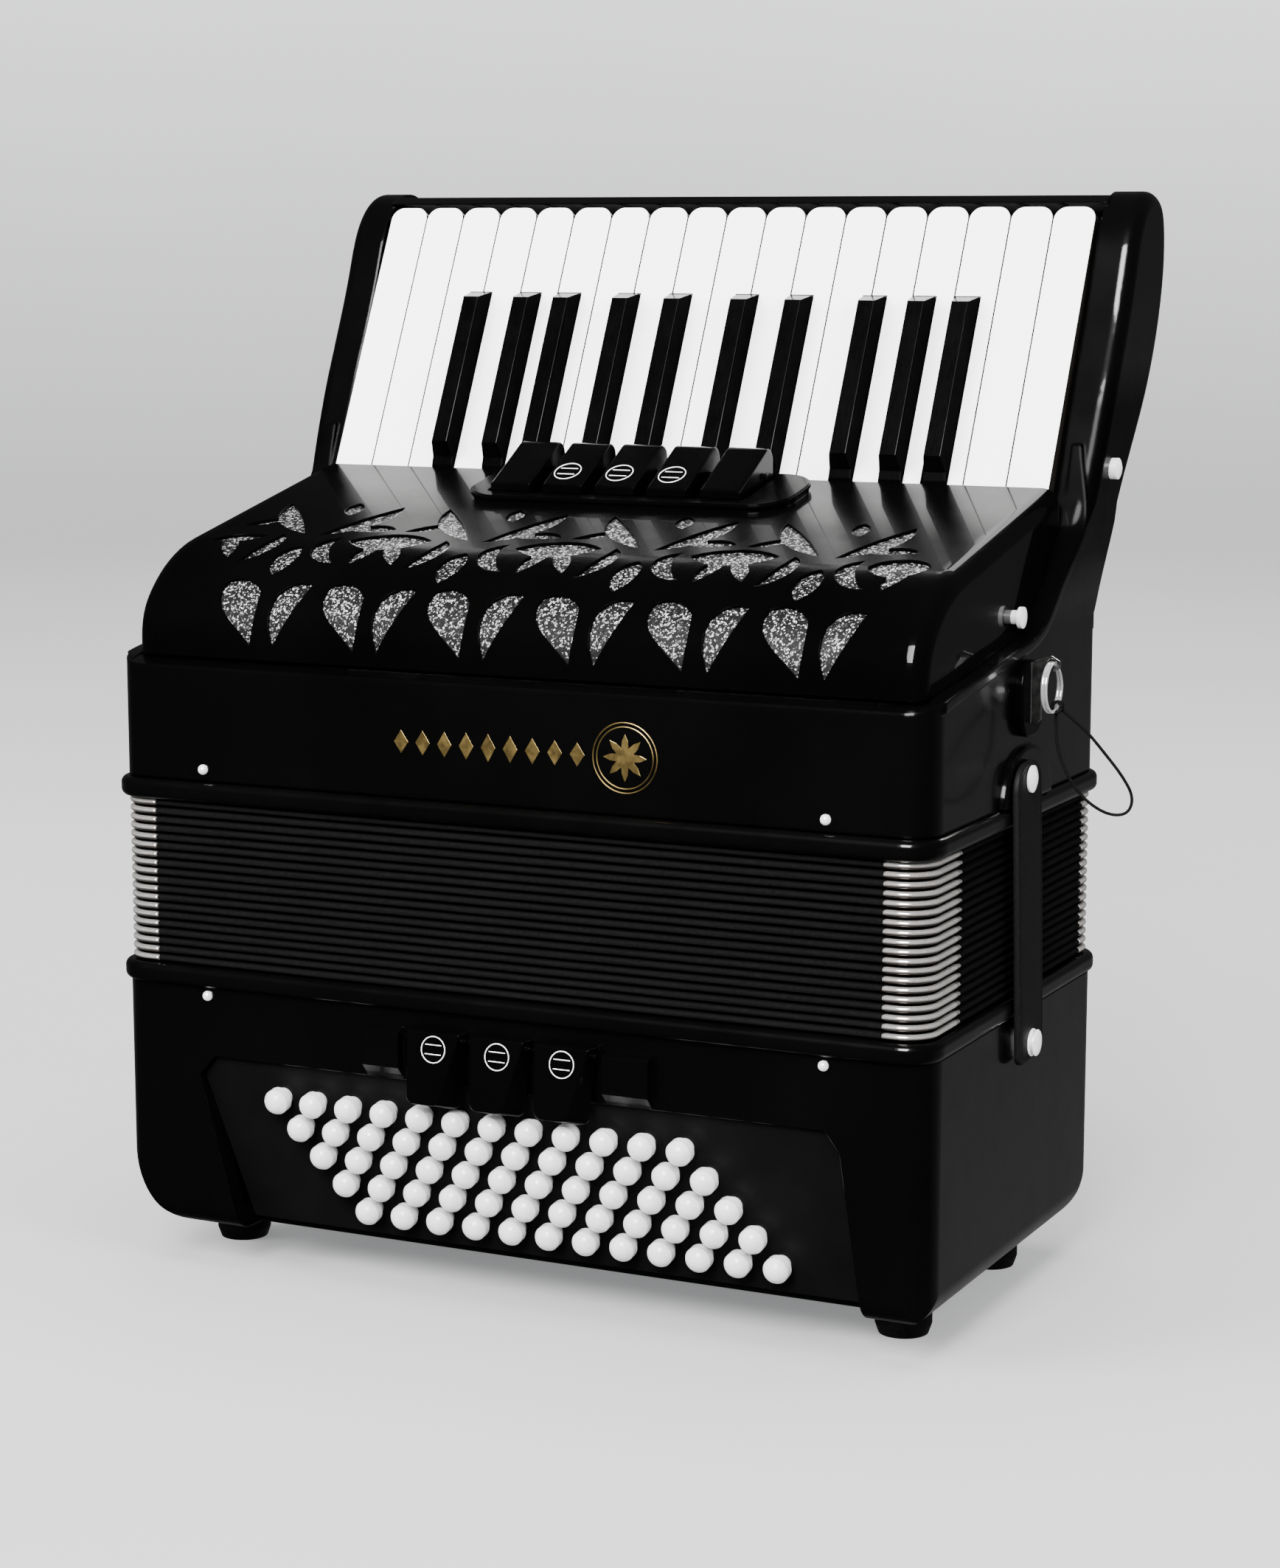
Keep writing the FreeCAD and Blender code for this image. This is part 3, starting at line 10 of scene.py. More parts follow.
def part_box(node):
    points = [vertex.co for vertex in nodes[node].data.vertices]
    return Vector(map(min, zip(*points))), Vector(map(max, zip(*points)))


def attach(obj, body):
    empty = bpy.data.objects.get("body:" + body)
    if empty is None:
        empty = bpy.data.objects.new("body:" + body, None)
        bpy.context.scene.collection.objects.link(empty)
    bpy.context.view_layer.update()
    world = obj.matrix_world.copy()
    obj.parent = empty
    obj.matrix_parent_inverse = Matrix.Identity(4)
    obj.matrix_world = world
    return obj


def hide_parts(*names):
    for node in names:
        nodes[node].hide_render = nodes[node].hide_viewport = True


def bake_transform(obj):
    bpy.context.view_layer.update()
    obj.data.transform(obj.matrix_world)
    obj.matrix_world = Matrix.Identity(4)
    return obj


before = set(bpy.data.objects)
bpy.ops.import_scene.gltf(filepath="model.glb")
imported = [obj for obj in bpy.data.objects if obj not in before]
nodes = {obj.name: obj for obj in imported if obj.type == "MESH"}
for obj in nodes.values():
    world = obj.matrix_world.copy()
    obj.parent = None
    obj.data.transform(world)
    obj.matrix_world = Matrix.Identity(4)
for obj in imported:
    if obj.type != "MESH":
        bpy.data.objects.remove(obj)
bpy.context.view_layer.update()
MM = 0.001
# front face of both cases in millimetres
CASE_FRONT = -94.5

# --------------------------------------------------------------------------
# Camera
# --------------------------------------------------------------------------
camera_data = bpy.data.cameras.new("camera")
camera_data.lens = 78.46
camera_data.sensor_width = 36.0
camera_data.sensor_fit = "AUTO"
camera_data.clip_start = 0.05
camera_data.clip_end = 100.0
camera = bpy.data.objects.new("camera", camera_data)
camera.location = (0.5976, -1.2173, 0.4151)
camera.rotation_euler = (math.radians(80.71), 0.0, math.radians(25.66))
bpy.context.scene.collection.objects.link(camera)
bpy.context.scene.camera = camera


# --------------------------------------------------------------------------
# Materials
# --------------------------------------------------------------------------
class Shader:
    """A node material with one Principled shader and short calls for its nodes."""

    def __init__(self, name, **values):
        self.material = bpy.data.materials.new(name)
        self.material.use_nodes = True
        self.tree = self.material.node_tree
        self.main = self.tree.nodes["Principled BSDF"]
        for socket, value in values.items():
            self.main.inputs[socket.replace("_", " ")].default_value = value
        self.where = self.add("ShaderNodeNewGeometry").outputs["Position"]

    def add(self, kind, **settings):
        node = self.tree.nodes.new(kind)
        for key, value in settings.items():
            setattr(node, key, value)
        return node

    def plug(self, value, socket):
        if isinstance(value, bpy.types.NodeSocket):
            self.tree.links.new(value, socket)
        else:
            socket.default_value = value

    def link(self, value, name):
        self.plug(value, self.main.inputs[name])

    def scaled(self, x, y, z):
        node = self.add("ShaderNodeMapping")
        self.plug(self.where, node.inputs["Vector"])
        node.inputs["Scale"].default_value = (x, y, z)
        return node.outputs["Vector"]

    def noise(self, scale, detail, rough=0.5, source=None):
        node = self.add("ShaderNodeTexNoise")
        self.plug(source or self.where, node.inputs["Vector"])
        node.inputs["Scale"].default_value = scale
        node.inputs["Detail"].default_value = detail
        node.inputs["Roughness"].default_value = rough
        return node.outputs["Fac"]

    def cells(self, scale):
        node = self.add("ShaderNodeTexVoronoi")
        self.plug(self.where, node.inputs["Vector"])
        node.inputs["Scale"].default_value = scale
        return node

    def math(self, operation, a, b=0.0, c=0.0):
        node = self.add("ShaderNodeMath", operation=operation)
        for socket, value in zip(node.inputs, (a, b, c)):
            self.plug(value, socket)
        return node.outputs[0]

    def remap(self, value, low, high, to_low=0.0, to_high=1.0):
        node = self.add("ShaderNodeMapRange")
        self.plug(value, node.inputs["Value"])
        for name, number in (("From Min", low), ("From Max", high),
                             ("To Min", to_low), ("To Max", to_high)):
            node.inputs[name].default_value = number
        return node.outputs["Result"]

    def ramp(self, value, *stops):
        node = self.add("ShaderNodeValToRGB")
        self.plug(value, node.inputs["Fac"])
        elements = node.color_ramp.elements
        while len(elements) < len(stops):
            elements.new(0.5)
        for element, (place, colour) in zip(elements, stops):
            element.position = place
            element.color = (*colour, 1.0)
        return node.outputs["Color"]

    def mix(self, share, a, b):
        node = self.add("ShaderNodeMix", data_type="RGBA")
        self.plug(share, node.inputs["Factor"])
        colours = [socket for socket in node.inputs if socket.type == "RGBA"]
        for value, socket in zip((a, b), colours):
            if isinstance(value, tuple):
                value = (*value, 1.0)
            self.plug(value, socket)
        return [socket for socket in node.outputs if socket.type == "RGBA"][0]

    def axis(self, name, source=None):
        node = self.add("ShaderNodeSeparateXYZ")
        self.plug(source or self.where, node.inputs[0])
        return node.outputs[name]

    def facing(self, name):
        """How squarely a flat face looks along an axis, without its sign."""
        return self.math("ABSOLUTE", self.axis(
            name, self.add("ShaderNodeNewGeometry").outputs["True Normal"]))

    def bump(self, height, distance, edges=0.0):
        """distance is the height in metres at full value; edges rounds corners in the shading."""
        node = self.add("ShaderNodeBump")
        node.inputs["Strength"].default_value = 1.0
        node.inputs["Distance"].default_value = distance
        self.plug(height, node.inputs["Height"])
        if edges:
            soft = self.add("ShaderNodeBevel", samples=6)
            soft.inputs["Radius"].default_value = edges
            self.plug(soft.outputs[0], node.inputs["Normal"])
        return node.outputs["Normal"]


# Places in metres that the lacquers follow
CHEEK_FOOT_HEIGHT = 0.316
CHEEK_INNER_FACE = 0.160
COVER_END = 0.157
# the cover's top is the line z = rise * y + height
COVER_TOP_RISE, COVER_TOP_HEIGHT = 0.212, 0.3015


def black_base(s):
    """Nearly black base colour of a lacquer, slightly clouded."""
    s.link(s.ramp(s.noise(14.0, 4.0), (0.3, (0.0004, 0.0004, 0.00038)),
                  (0.7, (0.0007, 0.0007, 0.00068))), "Base Color")


def glossy_black(name, edges, rough, coat_rough, coat, side_coat, peel=0.000012, dulled=0.0):
    """Black lacquer or plastic under a clear coat, which is duller on the end faces.

    dulled is the share of the gloss that is missing at the foot of the cheeks.
    """
    s = Shader(name, Coat_IOR=1.5, Specular_IOR_Level=0.04)
    black_base(s)
    s.link(s.remap(s.noise(60.0, 3.0), 0.3, 0.7, rough * 0.85, rough * 1.2), "Roughness")
    side = s.remap(s.facing("X"), 0.75, 0.95)
    under = s.remap(s.axis("Z", s.add("ShaderNodeNewGeometry").outputs["True Normal"]),
                    -0.75, -0.3, 0.25, 1.0)
    off_foot = s.math("ABSOLUTE", s.math("SUBTRACT", s.axis("Z"), CHEEK_FOOT_HEIGHT))
    near_foot = s.remap(off_foot, 0.028, 0.046, 1.0, 0.0)
    on_cheek = s.remap(s.math("ABSOLUTE", s.axis("X")), CHEEK_INNER_FACE, CHEEK_INNER_FACE + 0.004)
    foot = s.math("MULTIPLY", near_foot, on_cheek)
    gloss = s.math("SUBTRACT", 1.0, s.math("MULTIPLY", foot, dulled))
    weight = s.math("MULTIPLY", s.remap(side, 0.0, 1.0, coat, side_coat), under)
    s.link(s.math("MULTIPLY", weight, gloss), "Coat Weight")
    s.link(s.remap(side, 0.0, 1.0, coat_rough, coat_rough * 2.4), "Coat Roughness")
    waves = s.noise(420.0, 1.5)
    s.link(s.bump(waves, peel, edges=edges), "Normal")
    s.link(s.bump(waves, peel * 0.6, edges=edges), "Coat Normal")
    return s.material


lacquer = glossy_black("lacquer", 0.0005, 0.3, 0.05, 0.7, 0.6)
case_lacquer = glossy_black("case_lacquer", 0.0018, 0.3, 0.05, 0.7, 0.6, dulled=0.92)
frame_black = glossy_black("frame_black", 0.0005, 0.34, 0.1, 0.8, 0.7)
register_black = glossy_black("register_black", 0.0005, 0.2, 0.03, 0.14, 0.02, peel=0.000003)


def make_cover_lacquer():
    """Thinly coated cover: most gloss by the keys and on the round ends, little on the plinth."""
    s = Shader("cover_lacquer", Coat_Roughness=0.025, Coat_IOR=1.5, Specular_IOR_Level=0.01)
    black_base(s)
    s.link(s.remap(s.noise(60.0, 3.0), 0.3, 0.7, 0.19, 0.26), "Roughness")
    top = s.math("MULTIPLY_ADD", s.axis("Y"), COVER_TOP_RISE, COVER_TOP_HEIGHT)
    above = s.math("SUBTRACT", s.axis("Z"), top)
    gloss = s.remap(s.axis("Y"), -0.015, 0.03, 0.02, 0.2)
    ends = s.remap(s.math("ABSOLUTE", s.axis("X")), COVER_END, COVER_END + 0.006, 0.0, 0.4)
    plinth = s.remap(above, 0.0005, 0.0012, 1.0, 0.22)
    s.link(s.math("MULTIPLY", s.math("MAXIMUM", gloss, ends), plinth), "Coat Weight")
    waves = s.noise(420.0, 1.5)
    s.link(s.bump(waves, 0.000005, edges=0.0005), "Normal")
    s.link(s.bump(waves, 0.000003, edges=0.0005), "Coat Normal")
    return s.material


cover_lacquer = make_cover_lacquer()


def make_key_black():
    """Black plastic with a fine grain along the key, duller down the sides."""
    s = Shader("key_black", Coat_Roughness=0.05)
    side = s.remap(s.facing("X"), 0.7, 0.9)
    s.link(s.remap(side, 0.0, 1.0, 0.2, 0.01), "Coat Weight")
    s.link(s.remap(side, 0.0, 1.0, 0.05, 0.0), "Specular IOR Level")
    worn = s.noise(90.0, 4.0, 0.6)
    s.link(s.ramp(worn, (0.35, (0.0004, 0.0004, 0.0004)), (0.75, (0.0009, 0.0009, 0.0009))),
           "Base Color")
    grain = s.noise(1.0, 3.0, source=s.scaled(2200.0, 160.0, 160.0))
    s.link(s.remap(grain, 0.3, 0.7, 0.22, 0.3), "Roughness")
    s.link(s.bump(grain, 0.000004, edges=0.0004), "Normal")
    return s.material


def make_key_white():
    """White plastic on the playing faces; near-black sides, partly bare wood and partly painted shade
    in the gaps between the keys.
    """
    s = Shader("key_white", Coat_Roughness=0.06, Specular_IOR_Level=0.4)
    cloud = s.noise(30.0, 3.0)
    plastic = s.ramp(cloud, (0.3, (0.86, 0.86, 0.85)), (0.7, (0.90, 0.90, 0.89)))
    side = s.remap(s.facing("X"), 0.7, 0.9)
    # near-black side colour: bare wood darkened further by painted shade in the gaps between keys
    s.link(s.mix(side, plastic, (0.008, 0.007, 0.006)), "Base Color")
    s.link(s.remap(side, 0.0, 1.0, 0.5, 0.0), "Coat Weight")
    s.link(s.remap(s.noise(140.0, 2.0), 0.3, 0.7, 0.2, 0.3), "Roughness")
    s.link(s.bump(s.noise(600.0, 2.0), 0.000004, edges=0.0003), "Normal")
    return s.material


def make_button_white():
    s = Shader("button_white", Coat_Weight=0.4, Coat_Roughness=0.1)
    s.link(s.ramp(s.noise(220.0, 3.0), (0.3, (0.46, 0.46, 0.455)), (0.7, (0.52, 0.52, 0.515))),
           "Base Color")
    s.link(s.remap(s.noise(500.0, 2.0), 0.3, 0.7, 0.22, 0.34), "Roughness")
    s.link(s.bump(s.noise(1500.0, 2.0), 0.000006), "Normal")
    return s.material


def make_board():
    s = Shader("board", Specular_IOR_Level=0.14)
    grit = s.noise(2600.0, 2.0)
    s.link(s.ramp(s.noise(50.0, 4.0), (0.3, (0.0010, 0.0010, 0.0010)),
                  (0.7, (0.0016, 0.0016, 0.0016))), "Base Color")
    s.link(s.remap(grit, 0.3, 0.7, 0.42, 0.56), "Roughness")
    s.link(s.bump(grit, 0.00002, edges=0.0003), "Normal")
    return s.material


def make_metal(name, colour, rough, lines=0.000002, metallic=1.0):
    """Metal with dull patches; lines is the depth of its fine marks in metres."""
    s = Shader(name, Metallic=metallic)
    dull = s.noise(260.0, 3.0, 0.6)
    s.link(s.ramp(dull, (0.3, tuple(c * 0.86 for c in colour)), (0.7, colour)), "Base Color")
    s.link(s.remap(dull, 0.3, 0.7, rough * 1.3, rough * 0.8), "Roughness")
    s.link(s.bump(s.noise(1400.0, 2.0), lines), "Normal")
    return s.material


def make_guard_metal():
    """Bright nickel with painted shade on the underside of every ridge."""
    s = Shader("corner_metal", Metallic=0.88)
    dull = s.noise(260.0, 3.0, 0.6)
    bright = s.ramp(dull, (0.3, (0.82, 0.77, 0.73)), (0.7, (0.93, 0.9, 0.87)))
    slant = s.axis("Z", s.add("ShaderNodeNewGeometry").outputs["Normal"])
    # painted shade: the base colour turns near-black where the face points down
    s.link(s.mix(s.remap(slant, -0.45, 0.12), (0.05, 0.038, 0.032), bright), "Base Color")
    s.link(s.remap(dull, 0.3, 0.7, 0.2, 0.13), "Roughness")
    s.link(s.bump(s.noise(1400.0, 2.0), 0.000003), "Normal")
    return s.material


def make_rubber():
    s = Shader("foot_rubber", Specular_IOR_Level=0.3)
    dust = s.noise(700.0, 4.0)
    s.link(s.ramp(dust, (0.3, (0.0008, 0.0008, 0.0008)), (0.75, (0.002, 0.002, 0.002))),
           "Base Color")
    s.link(s.remap(dust, 0.3, 0.7, 0.6, 0.8), "Roughness")
    s.link(s.bump(dust, 0.00003, edges=0.0006), "Normal")
    return s.material


def make_leather():
    s = Shader("strap_leather", Specular_IOR_Level=0.22)
    pebbles = s.cells(1500.0)
    creases = s.noise(900.0, 5.0, 0.65)
    height = s.math("ADD", s.math("MULTIPLY", pebbles.outputs["Distance"], 0.6), creases)
    s.link(s.ramp(height, (0.45, (0.0012, 0.0012, 0.0012)), (1.0, (0.0032, 0.0032, 0.003))),
           "Base Color")
    s.link(s.remap(height, 0.4, 1.1, 0.48, 0.66), "Roughness")
    s.link(s.bump(height, 0.00006), "Normal")
    return s.material


def make_bellows_cloth():
    """Woven cloth, its threads level and upright."""
    s = Shader("bellows_cloth", Specular_IOR_Level=0.08)
    along = s.math("ADD", s.axis("X"), s.axis("Y"))
    warp = s.math("SINE", s.math("MULTIPLY", along, 7400.0))
    weft = s.math("SINE", s.math("MULTIPLY", s.axis("Z"), 9000.0))
    weave = s.math("MULTIPLY_ADD", warp, weft, s.noise(2400.0, 3.0))
    fuzz = s.noise(1300.0, 3.0, 0.7)
    s.link(s.ramp(fuzz, (0.35, (0.0008, 0.0008, 0.0008)), (0.72, (0.0032, 0.0032, 0.0031))),
           "Base Color")
    s.link(s.remap(weave, -1.0, 1.6, 0.95, 0.7), "Roughness")
    s.link(s.bump(weave, 0.00004), "Normal")
    return s.material


def make_glitter():
    """Small flakes, each at its own slant, on a dark ground, with painted glints: random flakes made
    near-white in the base colour.
    """
    s = Shader("glitter_cloth", Metallic=0.25)
    flakes = s.cells(1450.0)
    shade = s.axis("X", flakes.outputs["Color"])
    fine = s.cells(3000.0)
    shade = s.math("ADD", s.math("MULTIPLY", shade, 0.75),
                   s.math("MULTIPLY", s.axis("Y", fine.outputs["Color"]), 0.3))
    # painted glints: a share of the flakes gets a near-white base colour, the rest stay dark
    s.link(s.ramp(shade, (0.42, (0.0010, 0.0010, 0.0010)), (0.62, (0.006, 0.006, 0.006)),
                  (0.76, (0.03, 0.03, 0.03)), (0.88, (0.55, 0.55, 0.55))), "Base Color")
    s.link(s.remap(shade, 0.2, 1.0, 0.6, 0.25), "Roughness")
    s.link(s.bump(shade, 0.00035), "Normal")
    return s.material


def make_cord_cloth():
    s = Shader("cord_black", Specular_IOR_Level=0.15)
    twist = s.math("SINE", s.math("MULTIPLY", s.math("ADD", s.axis("Z"), s.axis("X")), 6000.0))
    s.link(s.ramp(s.noise(1800.0, 3.0), (0.3, (0.0006, 0.0006, 0.0006)), (0.7, (0.002, 0.002, 0.002))),
           "Base Color")
    s.link(s.remap(twist, -1.0, 1.0, 0.7, 0.85), "Roughness")
    s.link(s.bump(twist, 0.00004), "Normal")
    return s.material


def make_ring_plate():
    """Black base plate with a bright bracket standing out of it."""
    s = Shader("ring_plate")
    plate_face = 0.1766
    bracket = s.remap(s.axis("X"), plate_face, plate_face + 0.0001)
    s.link(s.mix(bracket, (0.0006, 0.0006, 0.0006), (0.4, 0.39, 0.38)), "Base Color")
    s.link(bracket, "Metallic")
    s.link(s.remap(bracket, 0.0, 1.0, 0.06, 0.5), "Specular IOR Level")
    s.link(s.remap(s.noise(300.0, 3.0), 0.3, 0.7, 0.16, 0.24), "Roughness")
    s.link(s.bump(s.noise(700.0, 2.0), 0.000004, edges=0.0003), "Normal")
    return s.material


key_black = make_key_black()
key_white = make_key_white()
button_white = make_button_white()
board_black = make_board()
chrome = make_metal("chrome", (0.82, 0.82, 0.83), 0.12, metallic=0.8)
corner_metal = make_guard_metal()
stud_nickel = make_metal("stud_nickel", (0.93, 0.93, 0.93), 0.16, metallic=0.4)
sign_silver = make_metal("sign_silver", (0.85, 0.85, 0.84), 0.3, metallic=0.15)
axle_steel = make_metal("axle_steel", (0.45, 0.45, 0.46), 0.3)
gold = make_metal("gold_inlay", (0.52, 0.37, 0.13), 0.38, lines=0.00001)
rubber = make_rubber()
leather = make_leather()
bellows_cloth = make_bellows_cloth()
glitter = make_glitter()
cord_cloth = make_cord_cloth()
ring_plate_paint = make_ring_plate()


def paint(node, material):
    if not nodes[node].material_slots:
        nodes[node].data.materials.append(material)
    for slot in nodes[node].material_slots:
        slot.material = material


for name in nodes:
    if name.startswith("white_key"):
        paint(name, key_white)
    elif name.startswith("black_key"):
        paint(name, key_black)
    elif "register" in name or name == "air_button":
        paint(name, register_black)
    elif name.startswith("bass_buttons"):
        paint(name, button_white)
for name, material in (("bass_case", lacquer), ("treble_case", case_lacquer),
                       ("grille_cover", cover_lacquer), ("bass_button_board", board_black),
                       ("bellows_frame_lower", frame_black), ("bellows_frame_upper", frame_black),
                       ("feet", rubber), ("bass_fasteners", stud_nickel),
                       ("treble_fasteners", stud_nickel),
                       ("key_axle", axle_steel), ("ring_plate", ring_plate_paint)):
    paint(name, material)


# --------------------------------------------------------------------------
# Mesh helpers
# --------------------------------------------------------------------------
def mesh_piece(name, points, faces, material, smooth=True):
    mesh = bpy.data.meshes.new(name)
    mesh.from_pydata([tuple(p) for p in points], [], faces)
    mesh.validate()
    mesh.update()
    work = bmesh.new()
    work.from_mesh(mesh)
    bmesh.ops.recalc_face_normals(work, faces=work.faces)
    work.to_mesh(mesh)
    work.free()
    mesh.materials.append(material)
    for polygon in mesh.polygons:
        polygon.use_smooth = smooth
    piece = bpy.data.objects.new(name, mesh)
    bpy.context.scene.collection.objects.link(piece)
    return piece


def ring_faces(start, count, rings, closed=False):
    """Quads between rings of points that follow each other in the list."""
    faces = []
    pairs = [(r, r + 1) for r in range(rings - 1)]
    if closed:
        pairs.append((rings - 1, 0))
    for lower, upper in pairs:
        for i in range(count):
            j = (i + 1) % count
            faces.append((start + lower * count + i, start + lower * count + j,
                          start + upper * count + j, start + upper * count + i))
    return faces


def lathe(profile, centre, direction, turns):
    """Points and faces of a closed body of revolution from (radius, height) steps."""
    axis = Vector(direction).normalized()
    side = axis.orthogonal().normalized()
    other = axis.cross(side)
    points = []
    for radius, height in profile:
        for step in range(turns):
            angle = 2 * math.pi * step / turns
            points.append(Vector(centre) + axis * height
                          + (side * math.cos(angle) + other * math.sin(angle)) * radius)
    faces = ring_faces(0, turns, len(profile))
    faces.append(tuple(range(turns))[::-1])
    last = (len(profile) - 1) * turns
    faces.append(tuple(last + i for i in range(turns)))
    return points, faces


def rounded_outline(half_x, half_y, radius, bend_steps, straight):
    """Points round a rectangle with round corners, with extra points on the sides."""
    corners = [(half_x - radius, half_y - radius, 0), (radius - half_x, half_y - radius, 90),
               (radius - half_x, radius - half_y, 180), (half_x - radius, radius - half_y, 270)]
    path = []
    for index, (cx, cy, begin) in enumerate(corners):
        for step in range(bend_steps + 1):
            angle = math.radians(begin + 90 * step / bend_steps)
            path.append((cx + radius * math.cos(angle), cy + radius * math.sin(angle),
                         math.cos(angle), math.sin(angle)))
        nx, ny = corners[(index + 1) % 4][:2]
        angle = math.radians(begin + 90)
        ax, ay = path[-1][0], path[-1][1]
        bx = nx + radius * math.cos(angle)
        by = ny + radius * math.sin(angle)
        pieces = max(1, round(math.hypot(bx - ax, by - ay) / straight))
        for step in range(1, pieces):
            share = step / pieces
            path.append((ax + (bx - ax) * share, ay + (by - ay) * share,
                         math.cos(angle), math.sin(angle)))
    return path


def tube(points, radius, turns, closed=False):
    """Points and faces of a round tube along a list of points."""
    out = []
    count = len(points)
    normal = None
    for index, point in enumerate(points):
        before = points[index - 1] if index or closed else point
        after = points[(index + 1) % count] if index < count - 1 or closed else point
        along = (after - before).normalized()
        if normal is None:
            normal = along.orthogonal().normalized()
        normal = (normal - along * normal.dot(along)).normalized()
        other = along.cross(normal)
        for step in range(turns):
            angle = 2 * math.pi * step / turns
            out.append(point + (normal * math.cos(angle) + other * math.sin(angle)) * radius)
    faces = ring_faces(0, turns, count, closed)
    if not closed:
        faces.append(tuple(range(turns))[::-1])
        faces.append(tuple((count - 1) * turns + i for i in range(turns)))
    return out, faces


def joined(parts):
    """One list of points and faces from several."""
    points, faces = [], []
    for more_points, more_faces in parts:
        start = len(points)
        points.extend(more_points)
        faces.extend(tuple(start + i for i in face) for face in more_faces)
    return points, faces


# --------------------------------------------------------------------------
# Thin cord tied to the strap ring
# --------------------------------------------------------------------------
CORD_START = Vector((0.1871, 0.0043, 0.2348))
CORD_SIDE = Vector((0.9, 0.43, 0.0))
CORD_RADIUS = 0.6 * MM
LOOP = [(0, 0), (9, 7.4), (16.5, 16.4), (24, 25.8), (28.5, 34), (26.5, 40.6), (19, 41),
        (10, 35.3), (3.5, 26.7), (-0.5, 17.2), (-1.8, 8.2), (-1.6, 2)]

cord_curve = bpy.data.curves.new("ring_cord_line", "CURVE")
cord_curve.dimensions = "3D"
cord_curve.bevel_depth = CORD_RADIUS
cord_curve.bevel_resolution = 4
cord_curve.use_fill_caps = True
line = cord_curve.splines.new("NURBS")
line.points.add(len(LOOP) - 1)
for spot, (across, down) in zip(line.points, LOOP):
    place = CORD_START + CORD_SIDE * (across * MM) - Vector((0, 0, down * MM))
    spot.co = (*place, 1.0)
line.order_u = 3
line.use_endpoint_u = True
line.resolution_u = 12
cord_curve.materials.append(cord_cloth)
cord = bpy.data.objects.new("cord_loop", cord_curve)
bpy.context.scene.collection.objects.link(cord)
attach(cord, "strap_ring")
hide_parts("ring_cord")


def make_knot():
    """Two turns of the cord round the ring's wire, drawn tight."""
    centre = CORD_START + Vector((-0.0012, -0.0008, 0.0006))
    turns, steps = 2.2, 40
    reach, slant, wide = 1.9, 0.9, 2.2
    coil = []
    for step in range(steps + 1):
        angle = 2 * math.pi * turns * step / steps
        drift = (step / steps - 0.5) * wide
        coil.append(centre + Vector((reach * math.cos(angle), slant * math.sin(angle) + drift,
                                     reach * math.sin(angle))) * MM)
    points, faces = tube(coil, 0.7 * MM, 8)
    piece = mesh_piece("cord_knot", points, faces, cord_cloth)
    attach(piece, "strap_ring")
    return piece


knot = make_knot()


# --------------------------------------------------------------------------
# Bellows: folded cloth and card, with a metal guard on every fold's corners
# --------------------------------------------------------------------------
BELLOWS_LOW = 124.0
FOLD_PITCH = 3.5
FOLDS = 19
BELLOWS_HIGH = BELLOWS_LOW + FOLD_PITCH * FOLDS
BELLOWS_X, BELLOWS_Y, BELLOWS_R = 172.2, 94.6, 12.0
# (height off the ridge's middle, depth in from the ridge) across one fold
FOLD_SHAPE = [(-1.42, 9.0), (-1.26, 3.2), (-1.16, 0.95), (-0.86, 0.26), (-0.4, 0.03),
              (0.0, 0.0), (0.4, 0.03), (0.86, 0.26), (1.16, 0.95), (1.26, 3.2), (1.42, 9.0)]
FOLD_DEPTH = 11.0
CLOTH_THICK = 0.9


def fold_share(fold):
    """How far along the opening bellows a fold travels, from 0 to 1."""
    return (fold + 0.5) / FOLDS


def fold_middle(fold):
    """Height of a fold's ridge in the closed bellows."""
    return BELLOWS_LOW + FOLD_PITCH * (fold + 0.5)


def bellows_rings():
    """Heights, depths and travel of the rings from the lower frame to the upper one."""
    rings = [(BELLOWS_LOW, 2.5, 0.0), (BELLOWS_LOW + 0.12, FOLD_DEPTH, 0.0)]
    for fold in range(FOLDS):
        middle = fold_middle(fold)
        here = fold_share(fold)
        for rise, depth in FOLD_SHAPE:
            lean = 0.0
            if depth > 5:
                lean = 0.36 / FOLDS * (1 if rise > 0 else -1)
            rings.append((middle + rise, depth, here + lean))
        if fold < FOLDS - 1:
            rings.append((middle + FOLD_PITCH / 2, FOLD_DEPTH, here + 0.5 / FOLDS))
    rings.append((BELLOWS_HIGH - 0.12, FOLD_DEPTH, 1.0))
    rings.append((BELLOWS_HIGH, 2.5, 1.0))
    return rings


def set_travel(piece):
    """Bakes the piece's placement into its mesh."""
    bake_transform(piece)


def make_bellows():
    """One closed skin of cloth: folds outside, the same folds set in by its thickness inside."""
    path = rounded_outline(BELLOWS_X, BELLOWS_Y, BELLOWS_R, 8, 7.0)
    count = len(path)
    rings = bellows_rings()
    inner = [(z, depth + CLOTH_THICK, share) for z, depth, share in reversed(rings)]
    points, shares = [], []
    for z, depth, share in rings + inner:
        for index, (x, y, nx, ny) in enumerate(path):
            ridge = max(0.0, 1.0 - depth / 3.0)
            sag = 0.10 * ridge * (math.sin(index * 0.9 + z * 1.7) + math.sin(index * 0.37 + z * 5.1))
            drift = 0.06 * math.sin(index * 0.23 + z * 0.9)
            inward = depth + 0.12 + sag * 0.6
            corner = min(abs(nx), abs(ny)) > 0.01
            if corner:
                inward = min(depth, 10.6) + 0.1
                drift = 0.0
            edge = z in (rings[0][0], rings[-1][0])
            points.append(Vector((x - nx * inward, y - ny * inward, z + (0 if edge else drift)))
                          * MM)
            shares.append(share)
    faces = ring_faces(0, count, len(rings) * 2, closed=True)
    piece = mesh_piece("bellows_cloth_folds", points, faces, bellows_cloth)
    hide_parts("bellows_folds")
    set_travel(piece)


make_bellows()

